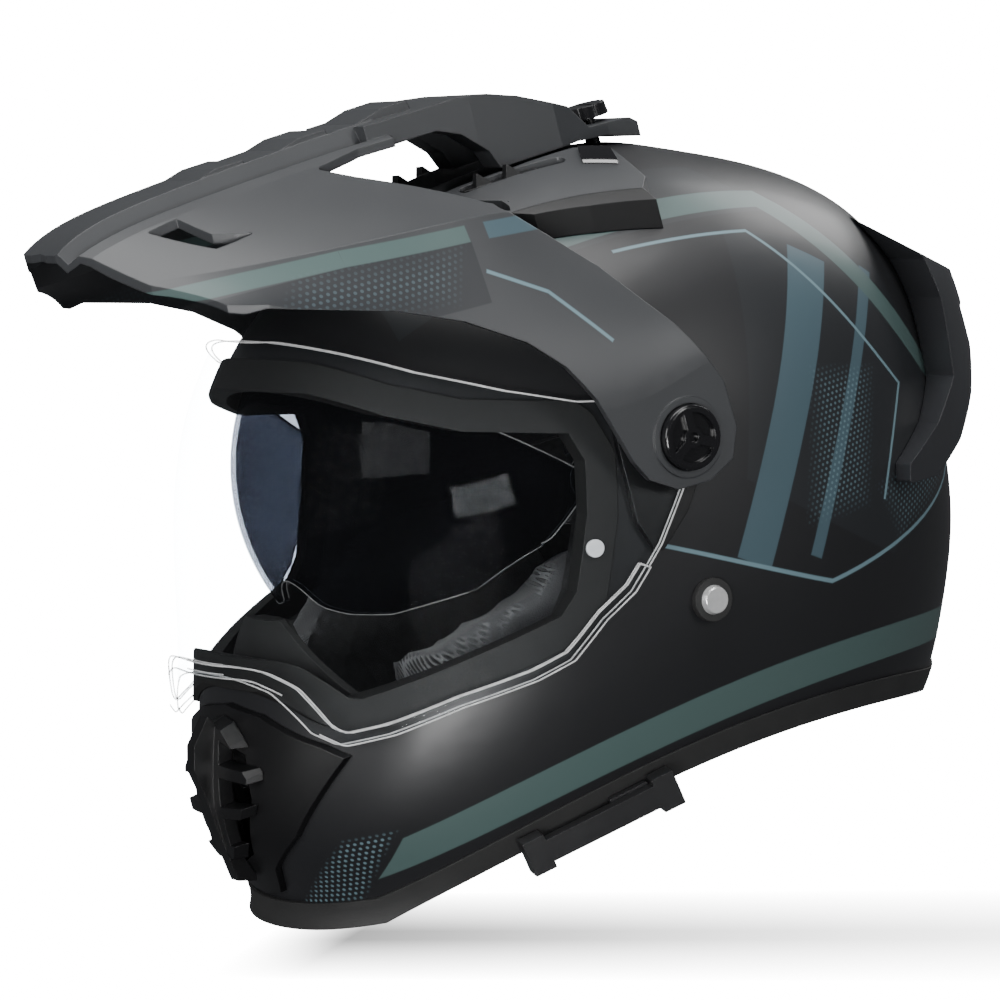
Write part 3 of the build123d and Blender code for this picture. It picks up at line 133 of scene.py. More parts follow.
class Finish:
    """One material, built from nodes around a principled shader."""

    def __init__(self, name):
        self.material = bpy.data.materials.new(name)
        self.material.use_nodes = True
        self.tree = self.material.node_tree
        self.tree.nodes.clear()
        self.output = self.node("ShaderNodeOutputMaterial")
        self.shader = self.node("ShaderNodeBsdfPrincipled")
        self.tree.links.new(self.shader.outputs[0], self.output.inputs[0])
        place = self.node("ShaderNodeTexCoord")
        self.place = Wire(self.tree, place.outputs["Object"])
        parts = self.node("ShaderNodeSeparateXYZ", {}, self.place)
        self.x, self.y, self.z = (Wire(self.tree, socket) for socket in parts.outputs)

    def node(self, kind, settings=None, *values, **named):
        """Adds a node: its settings first, then the values or wires of its sockets."""
        made = self.tree.nodes.new(kind)
        for name, value in (settings or {}).items():
            setattr(made, name, value)
        for slot, value in zip(made.inputs, values):
            feed(self.tree, slot, value)
        for name, value in named.items():
            feed(self.tree, made.inputs[name.replace("_", " ")], value)
        return made

    def wire(self, kind, settings=None, *values, **named):
        return Wire(self.tree, self.node(kind, settings, *values, **named).outputs[0])

    def noise(self, size, detail=2.0):
        """Cloudy noise with features of about the given size in metres."""
        return self.wire("ShaderNodeTexNoise", {}, self.place, Scale=1.0 / size, Detail=detail)

    def mix(self, share, first, second):
        """A colour between two colours."""
        made = self.node("ShaderNodeMix", {"data_type": "RGBA"})
        feed(self.tree, made.inputs[0], share)
        feed(self.tree, made.inputs[6], first)
        feed(self.tree, made.inputs[7], second)
        return Wire(self.tree, made.outputs[2])

    def relief(self, height, depth, edge=0.0):
        """Bumps of the given depth in metres, on edges that are rounded a little."""
        bump = self.node("ShaderNodeBump", {}, Strength=1.0, Distance=depth, Height=height)
        if edge:
            round_edge = self.node("ShaderNodeBevel", {"samples": BEVEL_SAMPLES}, Radius=edge)
            self.tree.links.new(round_edge.outputs[0], bump.inputs["Normal"])
        self.tree.links.new(bump.outputs[0], self.shader.inputs["Normal"])

    def set(self, **values):
        for name, value in values.items():
            feed(self.tree, self.shader.inputs[name.replace("_", " ")], value)


def grey(level):
    return (level, level, level, 1.0)


def shade(colour, gain=1.0):
    return (colour[0] * gain, colour[1] * gain, colour[2] * gain, 1.0)


# Patterns on the helmet's surface


GIRTH_CENTRE = 0.12
GIRTH_RADIUS = 0.117
PAINT_EDGE = 0.0005
DOT_EDGE_SHARE = 0.12


def girth_place(finish):
    """Coordinates that lie on the helmet: y, and a height that goes on over the crown."""
    side = abs(finish.x)
    turn = side.reckon("ARCTAN2", finish.z - GIRTH_CENTRE, side)
    return finish.y, turn * GIRTH_RADIUS + GIRTH_CENTRE


def beyond(u, v, start, end):
    """How far a place lies to the left of the line from start to end, in metres."""
    along = (end[0] - start[0], end[1] - start[1])
    length = math.hypot(*along)
    normal = (-along[1] / length, along[0] / length)
    return u * normal[0] + v * normal[1] - (start[0] * normal[0] + start[1] * normal[1])


def patch(u, v, corners, soft=PAINT_EDGE):
    """One inside a shape with outward corners, given anticlockwise, and nothing outside."""
    depth = None
    for start, end in zip(corners, corners[1:] + corners[:1]):
        edge = beyond(u, v, start, end)
        depth = edge if depth is None else depth.least(edge)
    return depth.over(0.0, soft)


def band(u, v, start, end, width, soft=PAINT_EDGE):
    """One on a straight band of the given width from start to end, with square ends."""
    across = abs(beyond(u, v, start, end))
    length = math.hypot(end[0] - start[0], end[1] - start[1])
    along = ((end[0] - start[0]) / length, (end[1] - start[1]) / length)
    middle = ((start[0] + end[0]) / 2, (start[1] + end[1]) / 2)
    run = abs(u * along[0] + v * along[1] - (middle[0] * along[0] + middle[1] * along[1]))
    return (width / 2 - across).least(length / 2 - run).over(0.0, soft)


def path_band(u, v, places, width):
    """One on a band that turns at each place, lengthened at its turns so that the corners close."""
    mask = None
    for number, (start, end) in enumerate(zip(places, places[1:])):
        along = Vector(end) - Vector(start)
        step = along.normalized()
        first, last = Vector(start), Vector(end)
        if number > 0:
            before = Vector(start) - Vector(places[number - 1])
            first = first - step * (width / 2) * math.tan(abs(along.angle_signed(before)) / 2)
        if number < len(places) - 2:
            after = Vector(places[number + 2]) - Vector(end)
            last = last + step * (width / 2) * math.tan(abs(along.angle_signed(after)) / 2)
        run = band(u, v, first, last, width)
        mask = run if mask is None else mask.most(run)
    return mask


def cells(u, v, pitch):
    """Distance from the nearest centre of a honeycomb, as a share of the pitch."""
    tall = pitch * math.sqrt(3)
    nearest = None
    for shift in (0.0, 0.5):
        across = (u / pitch + shift).wave(1.0)
        along = (v / tall + shift).wave(1.0) * math.sqrt(3)
        distance = (across * across + along * along) ** 0.5
        nearest = distance if nearest is None else nearest.least(distance)
    return nearest


def cell_walls(u, v, pitch):
    """Nothing in the middle of a honeycomb's cells, rising to one on the walls between them."""
    tall = pitch * math.sqrt(3)
    nearest = None
    for shift in (0.0, 0.5):
        across = abs((u / pitch + shift).wave(1.0))
        along = abs((v / tall + shift).wave(1.0) * math.sqrt(3))
        reach = across.most(across * 0.5 + along * (math.sqrt(3) / 2))
        nearest = reach if nearest is None else nearest.least(reach)
    return nearest * 2.0


def dots(u, v, pitch, radius):
    """One on round dots in a staggered grid."""
    return (radius / pitch - cells(u, v, pitch)).over(0.0, DOT_EDGE_SHARE)


# Sizes and colours that a user would change


class HelmetSizes(bpy.types.PropertyGroup):
    """Sizes of what is drawn or sewn on the helmet."""

    dot_pitch: FloatProperty(
        name="Dot pitch", description="Distance between the printed dots", default=0.0025, unit="LENGTH"
    )
    knit_pitch: FloatProperty(
        name="Knit pitch", description="Distance between the knit's holes", default=0.0036, unit="LENGTH"
    )
    quilt_pitch: FloatProperty(
        name="Quilt pitch", description="Width of the lining's quilted cells", default=0.0125, unit="LENGTH"
    )
    quilt_depth: FloatProperty(
        name="Quilt depth", description="Depth of the sewn channels", default=0.0009, unit="LENGTH"
    )
    pad_voxel: FloatProperty(
        name="Pad voxel", description="Size of the pads' working mesh", default=0.0045, unit="LENGTH"
    )
    pad_inset: FloatProperty(
        name="Pad inset", description="How far a pad is drawn in at first", default=0.002, unit="LENGTH"
    )
    pad_swell: FloatProperty(
        name="Pad swell", description="How far a pad's cover may bulge", default=0.003, unit="LENGTH"
    )
    stitch_step: FloatProperty(
        name="Stitch step", description="Distance between stitches", default=0.0036, unit="LENGTH"
    )
    strap_ribs: IntProperty(
        name="Strap ribs", description="Ribs across the strap's webbing", default=7, min=3
    )


class HelmetColours(bpy.types.PropertyGroup):
    """Colours of the paint, the plastics and the linings."""

    matt_black: FloatVectorProperty(
        name="Matt black", description="Ground colour of the shell", subtype="COLOR",
        default=(0.0095, 0.0098, 0.0112),
    )
    tonal_grey: FloatVectorProperty(
        name="Tonal grey", description="Darkest of the painted panels", subtype="COLOR",
        default=(0.014, 0.0155, 0.018),
    )
    teal_grey: FloatVectorProperty(
        name="Teal grey", description="Broad painted bands", subtype="COLOR",
        default=(0.060, 0.098, 0.094),
    )
    steel_blue: FloatVectorProperty(
        name="Steel blue", description="Second painted band", subtype="COLOR",
        default=(0.050, 0.086, 0.105),
    )
    pale_line: FloatVectorProperty(
        name="Pale line", description="Fine painted lines", subtype="COLOR",
        default=(0.16, 0.26, 0.30),
    )
    peak_grey: FloatVectorProperty(
        name="Peak grey", description="Upper side of the peak", subtype="COLOR",
        default=(0.036, 0.038, 0.041),
    )
    brushed_grey: FloatVectorProperty(
        name="Brushed grey", description="Quilted cloth of the cheek pads", subtype="COLOR",
        default=(0.055, 0.055, 0.058),
    )
    knit_grey: FloatVectorProperty(
        name="Knit grey", description="Open knit of the cheek pads", subtype="COLOR",
        default=(0.16, 0.165, 0.17),
    )
    lining_black: FloatVectorProperty(
        name="Lining black", description="Crown and neck lining", subtype="COLOR",
        default=(0.012, 0.012, 0.013),
    )


def sizes():
    return bpy.context.scene.helmet_sizes


def colours():
    return bpy.context.scene.helmet_colours


# Finishes


MOULD_GRAIN = 0.00035
MOULD_DEPTH = 0.00003
MOULD_EDGE = 0.0005
MOULD_CLOUD = 0.03
MOULD_TONE_SPREAD = 0.12
MOULD_GLOSS_SPREAD = 0.12
RUBBER_CLOUD = 0.012
RUBBER_GRAIN = 0.0006
RUBBER_DEPTH = 0.00004
RUBBER_EDGE = 0.0006


def grained(finish, grain, depth, edge):
    """Fine moulded grain on edges that catch the light."""
    finish.relief(finish.noise(grain, detail=3.0), depth, edge=edge)


def moulded(name, colour, roughness=0.45, depth=MOULD_DEPTH):
    """Moulded plastic with slow changes of tone and a fine grain."""
    finish = Finish(name)
    cloud = finish.noise(MOULD_CLOUD, detail=4.0)
    darker, lighter = shade(colour, 1 - MOULD_TONE_SPREAD), shade(colour, 1 + MOULD_TONE_SPREAD)
    finish.set(
        Base_Color=finish.mix(cloud, darker, lighter),
        Roughness=roughness + (cloud - 0.5) * MOULD_GLOSS_SPREAD,
    )
    grained(finish, MOULD_GRAIN, depth, MOULD_EDGE)
    return finish.material


def rubbery(name, level):
    """Dull rubber of an even grey level, with a coarser grain than the plastics."""
    finish = Finish(name)
    cloud = finish.noise(RUBBER_CLOUD, detail=4.0)
    finish.set(
        Base_Color=finish.mix(cloud, grey(level * 0.8), grey(level * 1.3)),
        Roughness=0.55 + cloud * 0.15,
    )
    grained(finish, RUBBER_GRAIN, RUBBER_DEPTH, RUBBER_EDGE)
    return finish.material


def livery(finish, u, v, ground, design):
    """Paints a design of panels, bands, fine lines and fields of dots over the ground colour."""
    tone = colours()
    pitch = sizes().dot_pitch
    colour = ground
    for corners, gain in design["panels"]:
        colour = finish.mix(patch(u, v, corners), colour, shade(tone.tonal_grey, gain))
    for places, width, paint_name in design["bands"]:
        colour = finish.mix(path_band(u, v, places, width), colour, shade(getattr(tone, paint_name)))
    for places, width in design["lines"]:
        colour = finish.mix(path_band(u, v, places, width), colour, shade(tone.pale_line, LINE_GAIN))
    for corners in design["dots"]:
        field = patch(u, v, corners, soft=FIELD_EDGE) * dots(u, v, pitch, pitch * DOT_SHARE)
        colour = finish.mix(field * design["dot_strength"], colour, shade(tone.pale_line))
    return colour


# Places in metres: (along the helmet, round its girth) on the shell, (along, height) on the peak.
SHELL_DESIGN = {
    "panels": (
        ([(0.022, 0.128), (0.090, 0.070), (0.150, 0.100), (0.130, 0.200), (0.060, 0.222)], 0.9),
        ([(-0.080, 0.236), (0.090, 0.228), (0.074, 0.262), (-0.074, 0.272)], 1.1),
    ),
    "bands": (
        (((0.016, 0.096), (0.092, 0.205)), 0.017, "steel_blue"),
        (((0.046, 0.088), (0.122, 0.197)), 0.006, "steel_blue"),
        (((-0.052, 0.243), (0.088, 0.236), (0.150, 0.138)), 0.011, "teal_grey"),
    ),
    "lines": (
        (((-0.026, 0.118), (0.052, 0.076), (0.150, 0.070)), 0.0016),
        (((0.010, 0.226), (0.070, 0.219), (0.118, 0.140), (0.090, 0.094)), 0.0014),
    ),
    "dots": (
        [(0.050, 0.104), (0.078, 0.100), (0.098, 0.150), (0.070, 0.156)],
        [(0.098, 0.076), (0.140, 0.078), (0.140, 0.100), (0.092, 0.098)],
    ),
    "dot_strength": 0.45,
}
PEAK_DESIGN = {
    "panels": (
        ([(-0.176, 0.2530), (-0.150, 0.2300), (-0.064, 0.2250), (-0.060, 0.2475), (-0.108, 0.2520)], 1.2),
    ),
    "bands": (
        (((-0.172, 0.2575), (-0.108, 0.2550), (-0.060, 0.2505)), 0.0062, "teal_grey"),
        (((-0.052, 0.2495), (-0.030, 0.2465)), 0.0062, "steel_blue"),
    ),
    "lines": ((((-0.060, 0.236), (-0.040, 0.222), (-0.024, 0.198)), 0.0014),),
    "dots": ([(-0.134, 0.240), (-0.078, 0.232), (-0.070, 0.244), (-0.124, 0.250)],),
    "dot_strength": 0.22,
}
# The chin's dot field is (round the chin, height), in metres, on a ring of this radius.
CHIN_DOTS = [(0.191, 0.0107), (0.218, 0.0086), (0.186, 0.0359), (0.168, 0.0367)]
CHIN_RADIUS = 0.150
CHIN_DOT_STRENGTH = 0.6
DOT_SHARE = 0.24
FIELD_EDGE = 0.010
CHIN_FIELD_EDGE = 0.003
LINE_GAIN = 0.8
STRIPE_START = -0.144
STRIPE_LIFT = 0.0160
STRIPE_WIDTH = 0.0135
STRIPE_SLANT = 0.55
# The rim rises towards the middle of its length by this much, over this reach.
RIM_RISE = 0.024
RIM_REACH = 0.150
PEAK_FLANK = 0.045
PEAK_FLANK_EDGE = 0.004


def shell_paint():
    """Matt paint with its livery, a plain stripe along the rim and a satin coat."""
    finish = Finish("shell_paint")
    u, v = girth_place(finish)
    black = colours().matt_black
    ground = finish.mix(finish.noise(0.05, detail=3.0), shade(black, 0.85), shade(black, 1.2))
    colour = livery(finish, u, v, ground, SHELL_DESIGN)
    colour = finish.mix(stripe_mask(finish, u), colour, shade(colours().teal_grey))
    ring = abs(finish.x).reckon("ARCTAN2", -finish.y, abs(finish.x)) * CHIN_RADIUS
    pitch = sizes().dot_pitch
    grid = dots(ring, finish.z, pitch, pitch * DOT_SHARE)
    field = patch(ring, finish.z, CHIN_DOTS, soft=CHIN_FIELD_EDGE) * grid
    colour = finish.mix(field * CHIN_DOT_STRENGTH, colour, shade(colours().pale_line))
    flake = finish.noise(0.0004, detail=2.0)
    finish.set(Base_Color=colour, Roughness=0.40 + flake * 0.06)
    finish.shader.inputs["Coat Weight"].default_value = 0.12
    finish.shader.inputs["Coat Roughness"].default_value = 0.18
    finish.relief(flake, 0.000008, edge=0.0006)
    return finish.material


def peak_paint():
    """Satin grey plastic with a livery on its flanks, black where it faces down."""
    finish = Finish("peak_plastic")
    facing = finish.node("ShaderNodeNewGeometry")
    normal = finish.node("ShaderNodeSeparateXYZ", {}, Wire(finish.tree, facing.outputs["Normal"]))
    below = (-Wire(finish.tree, normal.outputs[2])).over(0.45, 0.3)
    cloud = finish.noise(0.04, detail=4.0)
    grey_tone = colours().peak_grey
    ground = finish.mix(cloud, shade(grey_tone, 0.88), shade(grey_tone, 1.12))
    colour = livery(finish, finish.y, finish.z, ground, PEAK_DESIGN)
    flank = abs(finish.x).over(PEAK_FLANK, PEAK_FLANK_EDGE)
    colour = finish.mix(flank, ground, colour)
    colour = finish.mix(below, colour, shade(colours().matt_black, 1.2))
    finish.set(Base_Color=colour, Roughness=0.42 + (cloud - 0.5) * 0.08)
    grained(finish, 0.0005, 0.000025, 0.0007)
    return finish.material


def stripe_mask(finish, u):
    """One on the plain stripe that follows the rim, from a slanted front end to the back."""
    rim = (1.0 - (u / RIM_REACH) * (u / RIM_REACH)) * RIM_RISE + STRIPE_LIFT
    height = finish.z - rim
    across = (STRIPE_WIDTH / 2 - abs(height - STRIPE_WIDTH / 2)).over(0.0, PAINT_EDGE)
    ahead = (u - STRIPE_START - height * STRIPE_SLANT).over(0.0, PAINT_EDGE)
    return across * ahead


PLASTIC_INDEX = 1.5
SMEAR_SIZE = 0.03


def clear_plastic(name, tint, body, haze, shine):
    """A lens: see-through when looked at squarely, and glossier at a glance on its outer faces."""
    finish = Finish(name)
    finish.set(Base_Color=shade(body), Roughness=0.04)
    outer = 1.0 - Wire(finish.tree, finish.node("ShaderNodeNewGeometry").outputs["Backfacing"])
    glance = finish.wire("ShaderNodeFresnel", {}, PLASTIC_INDEX) * outer
    clear = finish.node("ShaderNodeBsdfTransparent", {}, shade(tint))
    smear = finish.noise(SMEAR_SIZE) * outer
    blend = finish.node("ShaderNodeMixShader", {}, glance * shine + smear * haze)
    finish.tree.links.new(clear.outputs[0], blend.inputs[1])
    finish.tree.links.new(finish.shader.outputs[0], blend.inputs[2])
    finish.tree.links.new(blend.outputs[0], finish.output.inputs[0])
    return finish.material


def paint(material, *names):
    """Gives CAD pieces their finish."""
    for name in names:
        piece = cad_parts[name]
        piece.data.materials.clear()
        piece.data.materials.append(material)


# Meshes: new pieces, merged copies and edges


MERGE_DISTANCE = 1e-6


def new_piece(name, mesh, material=None):
    piece = bpy.data.objects.new(name, mesh)
    bpy.context.scene.collection.objects.link(piece)
    if material:
        mesh.materials.clear()
        mesh.materials.append(material)
    return piece


def merged_body(node):
    """A CAD piece's mesh with its loose triangles joined."""
    body = bmesh.new()
    body.from_mesh(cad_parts[node].data)
    bmesh.ops.remove_doubles(body, verts=body.verts, dist=MERGE_DISTANCE)
    return body


def merged_copy(name, node):
    """The merged mesh of a CAD piece as a new piece."""
    body = merged_body(node)
    mesh = bpy.data.meshes.new(name)
    body.to_mesh(mesh)
    body.free()
    return new_piece(name, mesh)


def settle(piece):
    """Makes the result of a piece's modifiers its own mesh."""
    graph = bpy.context.evaluated_depsgraph_get()
    graph.update()
    mesh = bpy.data.meshes.new_from_object(piece.evaluated_get(graph))
    piece.modifiers.clear()
    old = piece.data
    piece.data = mesh
    bpy.data.meshes.remove(old)


def finer(piece):
    """One even subdivision, shaded smooth."""
    modifier = piece.modifiers.new("finer", "SUBSURF")
    modifier.levels = 1
    modifier.render_levels = 1
    settle(piece)
    for face in piece.data.polygons:
        face.use_smooth = True


def sharp_edges(node, angle):
    """The edges of a CAD piece that turn by more than the angle, as runs of places."""
    body = merged_body(node)
    sharp = {}
    for edge in body.edges:
        if len(edge.link_faces) == 2 and edge.calc_face_angle() > angle:
            for point in edge.verts:
                sharp.setdefault(point, []).append(edge)
    used, runs = set(), []
    starts = [point for point in sharp if len(sharp[point]) != 2] + list(sharp)
    for point in starts:
        for edge in sharp[point]:
            if edge in used:
                continue
            here, run = point, [point.co.copy()]
            while edge and edge not in used:
                used.add(edge)
                here = edge.other_vert(here)
                run.append(here.co.copy())
                onward = [other for other in sharp[here] if other not in used]
                edge = onward[0] if len(sharp[here]) == 2 and onward else None
            runs.append(run)
    body.free()
    return runs


def thread(name, runs, radius, material):
    """Round beads that follow runs of places on straight steps."""
    line = bpy.data.curves.new(name, "CURVE")
    line.dimensions = "3D"
    for run in runs:
        spline = line.splines.new("NURBS")
        spline.points.add(len(run) - 1)
        for point, place in zip(spline.points, run):
            point.co = (*place, 1.0)
        spline.order_u = 2
        spline.use_endpoint_u = True
        spline.resolution_u = 1
    line.bevel_depth = radius
    line.bevel_resolution = 1
    line.use_fill_caps = True
    piece = bpy.data.objects.new(name, line)
    bpy.context.scene.collection.objects.link(piece)
    graph = bpy.context.evaluated_depsgraph_get()
    graph.update()
    mesh = bpy.data.meshes.new_from_object(piece.evaluated_get(graph))
    bpy.data.objects.remove(piece)
    for face in mesh.polygons:
        face.use_smooth = True
    return new_piece(name, mesh, material)


def small_block(name, width, depth, height, rounding):
    """A small rounded block centred on the origin, to be copied."""
    body = bmesh.new()
    bmesh.ops.create_cube(body, size=1.0)
    for point in body.verts:
        point.co = Vector((point.co.x * width, point.co.y * depth, point.co.z * height))
    bmesh.ops.bevel(body, geom=list(body.edges), offset=rounding, segments=2, affect="EDGES", profile=0.5)
    mesh = bpy.data.meshes.new(name)
    body.to_mesh(mesh)
    body.free()
    for face in mesh.polygons:
        face.use_smooth = True
    return mesh


def copies(name, item_mesh, places, material, scale=1.0):
    """Copies of a small mesh by geometry nodes: each place has a point, a normal and a direction."""
    points = bpy.data.meshes.new(name + "_places")
    points.from_pydata([place for place, normal, along in places], [], [])
    for label, index in (("upward", 1), ("forward", 2)):
        stored = points.attributes.new(label, "FLOAT_VECTOR", "POINT")
        stored.data.foreach_set("vector", [part for row in places for part in row[index]])
    holder = new_piece(name + "_places", points)
    item = new_piece(name + "_item", item_mesh)

    tree = bpy.data.node_groups.new(name, "GeometryNodeTree")
    tree.interface.new_socket("Geometry", in_out="INPUT", socket_type="NodeSocketGeometry")
    size = tree.interface.new_socket("Size", in_out="INPUT", socket_type="NodeSocketFloat")
    tree.interface.new_socket("Geometry", in_out="OUTPUT", socket_type="NodeSocketGeometry")
    add, link = tree.nodes.new, tree.links.new
    entry, leave = add("NodeGroupInput"), add("NodeGroupOutput")
    source = add("GeometryNodeObjectInfo")
    source.inputs["Object"].default_value = item
    turn = add("FunctionNodeAxesToRotation")
    for label, slot in (("upward", turn.inputs[0]), ("forward", turn.inputs[1])):
        reader = add("GeometryNodeInputNamedAttribute")
        reader.data_type = "FLOAT_VECTOR"
        reader.inputs["Name"].default_value = label
        link(reader.outputs["Attribute"], slot)
    stand = add("GeometryNodeInstanceOnPoints")
    link(entry.outputs["Geometry"], stand.inputs["Points"])
    link(source.outputs["Geometry"], stand.inputs["Instance"])
    link(turn.outputs[0], stand.inputs["Rotation"])
    link(entry.outputs["Size"], stand.inputs["Scale"])
    real = add("GeometryNodeRealizeInstances")
    dress = add("GeometryNodeSetMaterial")
    dress.inputs["Material"].default_value = material
    link(stand.outputs[0], real.inputs[0])
    link(real.outputs[0], dress.inputs["Geometry"])
    link(dress.outputs[0], leave.inputs[0])

    modifier = holder.modifiers.new(name, "NODES")
    modifier.node_group = tree
    modifier[size.identifier] = scale
    graph = bpy.context.evaluated_depsgraph_get()
    graph.update()
    mesh = bpy.data.meshes.new_from_object(holder.evaluated_get(graph))
    bpy.data.objects.remove(holder)
    bpy.data.objects.remove(item)
    return new_piece(name, mesh)


# Padded covers


SIMULATED_FRAMES = 20
SWELL_PRESSURE = 4.0
WEARER_CENTRE = Vector((0.0, 0.0, 0.11))
QUILT_FLAT = 0.62
QUILT_FACING = 0.35
STRIP_FACING = 0.45
STRIP_EDGE = 0.2
CLOTH_MASS = 0.2
CLOTH_QUALITY = 4


def start_cover(name, node):
    """A pad's closed form on an even mesh, drawn in a little to leave room to swell."""
    cover = merged_copy(name, node)
    remesh = cover.modifiers.new("remesh", "REMESH")
    remesh.mode = "VOXEL"
    remesh.voxel_size = sizes().pad_voxel
    smooth = cover.modifiers.new("smooth", "SMOOTH")
    smooth.factor = 0.5
    smooth.iterations = 2
    settle(cover)
    normals = [point.normal.copy() for point in cover.data.vertices]
    for point, normal in zip(cover.data.vertices, normals):
        point.co -= normal * sizes().pad_inset
    return cover


def swell(covers):
    """Blows the covers up together like stuffed cloth, by no more than the pad's swell."""
    rests = [[point.co.copy() for point in cover.data.vertices] for cover in covers]
    for cover in covers:
        cloth = cover.modifiers.new("cloth", "CLOTH")
        cloth.settings.quality = CLOTH_QUALITY
        cloth.settings.mass = CLOTH_MASS
        cloth.settings.use_pressure = True
        cloth.settings.uniform_pressure_force = SWELL_PRESSURE
        cloth.settings.effector_weights.gravity = 0.0
        cloth.point_cache.frame_start = 1
        cloth.point_cache.frame_end = SIMULATED_FRAMES
    for number in range(1, SIMULATED_FRAMES + 1):
        bpy.context.scene.frame_set(number)
    limit = sizes().pad_swell
    for cover, rest in zip(covers, rests):
        settle(cover)
        for point, start in zip(cover.data.vertices, rest):
            moved = point.co - start
            if moved.length > limit:
                point.co = start + moved * (limit / moved.length)
    bpy.context.scene.frame_set(1)


def fold(value):
    return value - math.floor(value) - 0.5


def seam_share(u, v, pitch):
    """How close a place is to the seams of a quilted honeycomb: one on them, nothing between."""
    nearest = 1.0
    for shift in (0.0, 0.5):
        across = abs(fold(u / pitch + shift))
        along = abs(fold(v / (pitch * math.sqrt(3)) + shift) * math.sqrt(3))
        nearest = min(nearest, max(across, across * 0.5 + along * math.sqrt(3) / 2))
    return max(0.0, min(1.0, (nearest * 2.0 - QUILT_FLAT) / (1.0 - QUILT_FLAT)))


def quilt(piece, pitch, depth):
    """Sews a honeycomb into the side of a cover that faces the wearer, and marks its front strip."""
    strip = piece.data.attributes.new("strip", "FLOAT", "POINT")
    normals = [point.normal.copy() for point in piece.data.vertices]
    for number, (point, normal) in enumerate(zip(piece.data.vertices, normals)):
        inward = (WEARER_CENTRE - point.co).normalized()
        strip.data[number].value = max(0.0, min(1.0, (-normal.y - STRIP_FACING) / STRIP_EDGE))
        if normal.dot(inward) > QUILT_FACING:
            girth = math.atan2(point.co.z - GIRTH_CENTRE, abs(point.co.x)) * GIRTH_RADIUS
            point.co -= normal * depth * seam_share(point.co.y, girth, pitch)


def spread(places, step):
    """Places at even steps along a run, each with its direction."""
    rows, left = [], 0.0
    for start, end in zip(places, places[1:]):
        along = end - start
        length = along.length
        while left < length:
            rows.append((start + along * (left / length), along.normalized()))
            left += step
        left -= length
    return rows


# Cloth, foam and webbing


def knitted(name, colour, strip_colour, pitch):
    """Brushed cloth on the quilted face, and a strip of open knit with slanted holes at its front."""
    finish = Finish(name)
    u, v = girth_place(finish)
    marked = finish.node("ShaderNodeAttribute", {"attribute_name": "strip"})
    strip = Wire(finish.tree, marked.outputs["Fac"])
    hole = (0.36 - cells(u + v * 0.35, v, pitch)).over(0.0, 0.10) * strip
    fuzz = finish.noise(0.0005, detail=3.0)
    cloud = finish.noise(0.012, detail=3.0)
    speckle = cloud * 0.35 + fuzz * 0.65
    plain = finish.mix(speckle, shade(colour, 0.55), shade(colour, 1.5))
    open_knit = finish.mix(speckle, shade(strip_colour, 0.5), shade(strip_colour, 1.5))
    cloth = finish.mix(strip, plain, open_knit)
    finish.set(Base_Color=finish.mix(hole, cloth, shade(colour, 0.12)), Roughness=0.93)
    finish.shader.inputs["Sheen Weight"].default_value = 0.25
    finish.relief(fuzz * 0.4 - hole * 2.0, 0.0006)
    return finish.material


def lining_cloth(name, colour, line_gain, pitch):
    """Close dark cloth with a printed honeycomb of fine lines, over the sewn one."""
    finish = Finish(name)
    u, v = girth_place(finish)
    wall = cell_walls(u, v, pitch).over(0.93, 0.05)
    worn = finish.noise(0.025, detail=2.0).over(0.5, 0.25)
    fuzz = finish.noise(0.0004, detail=4.0)
    ground = finish.mix(fuzz, shade(colour, 0.6), shade(colour, 1.5))
    finish.set(Base_Color=finish.mix(wall * worn * 0.8, ground, shade(colour, line_gain)), Roughness=0.92)
    finish.shader.inputs["Sheen Weight"].default_value = 0.2
    finish.relief(fuzz + u.sine(0.0016) * v.sine(0.0013) * 0.3, 0.0003)
    return finish.material


def bead_foam(name, colour):
    """Moulded foam of small beads pressed together."""
    finish = Finish(name)
    bead = finish.node("ShaderNodeTexVoronoi", {"feature": "F1"}, Vector=finish.place, Scale=260.0)
    distance = Wire(finish.tree, bead.outputs["Distance"])
    finish.set(Base_Color=finish.mix(distance, shade(colour, 1.4), shade(colour, 0.5)), Roughness=0.8)
    finish.relief(1.0 - distance, 0.0005)
    return finish.material


WEAVE_RIB = 0.0024
WEAVE_STEP = 0.0016


def webbing(name, colour):
    """Woven strap: a fine chevron weave on the strap's own coordinates."""
    finish = Finish(name)
    parts = finish.node("ShaderNodeSeparateXYZ", {}, finish.wire("ShaderNodeUVMap"))
    along, across = (Wire(finish.tree, parts.outputs[number]) for number in (0, 1))
    weave = (along + abs(across.wave(WEAVE_RIB)) * (WEAVE_RIB * 2.0)).sine(WEAVE_STEP)
    fuzz = finish.noise(0.0004, detail=3.0)
    finish.set(
        Base_Color=finish.mix(weave * 0.35 + fuzz * 0.3 + 0.35, shade(colour, 0.5), shade(colour, 1.6)),
        Roughness=0.85,
    )
    finish.relief(weave * 0.6 + fuzz * 0.4, 0.0003)
    return finish.material


# Pieces and groups of like pieces


STRAP_PATH_SHARES = (
    (0.0, 1.0), (-0.009, 0.683), (-0.076, 0.342), (-0.147, 0.264), (-0.265, 0.211), (-0.50, 0.118),
    (-0.735, 0.043), (-1.0, 0.0),
)
STRAP_WALL = 0.0018
STRAP_STEPS = 6
STRAP_RIB_HEIGHT = 0.00025
STITCH_EDGE = 0.0025
# Length, width, height and rounding of a stitch.
STITCH_SIZES = (0.0022, 0.0007, 0.0006, 0.00025)
LENS_EDGE_ANGLE = math.radians(50)
SHIELD_BEAD = 0.00035
VISOR_BEAD = 0.0003
PAD_FILL = 0.8
CURTAIN_EDGE = 0.005


def dress(cover, node, fill):
    """Hides a pad's CAD piece and hangs its padded cover on the shell."""
    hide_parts(node)
    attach(cover, "shell")


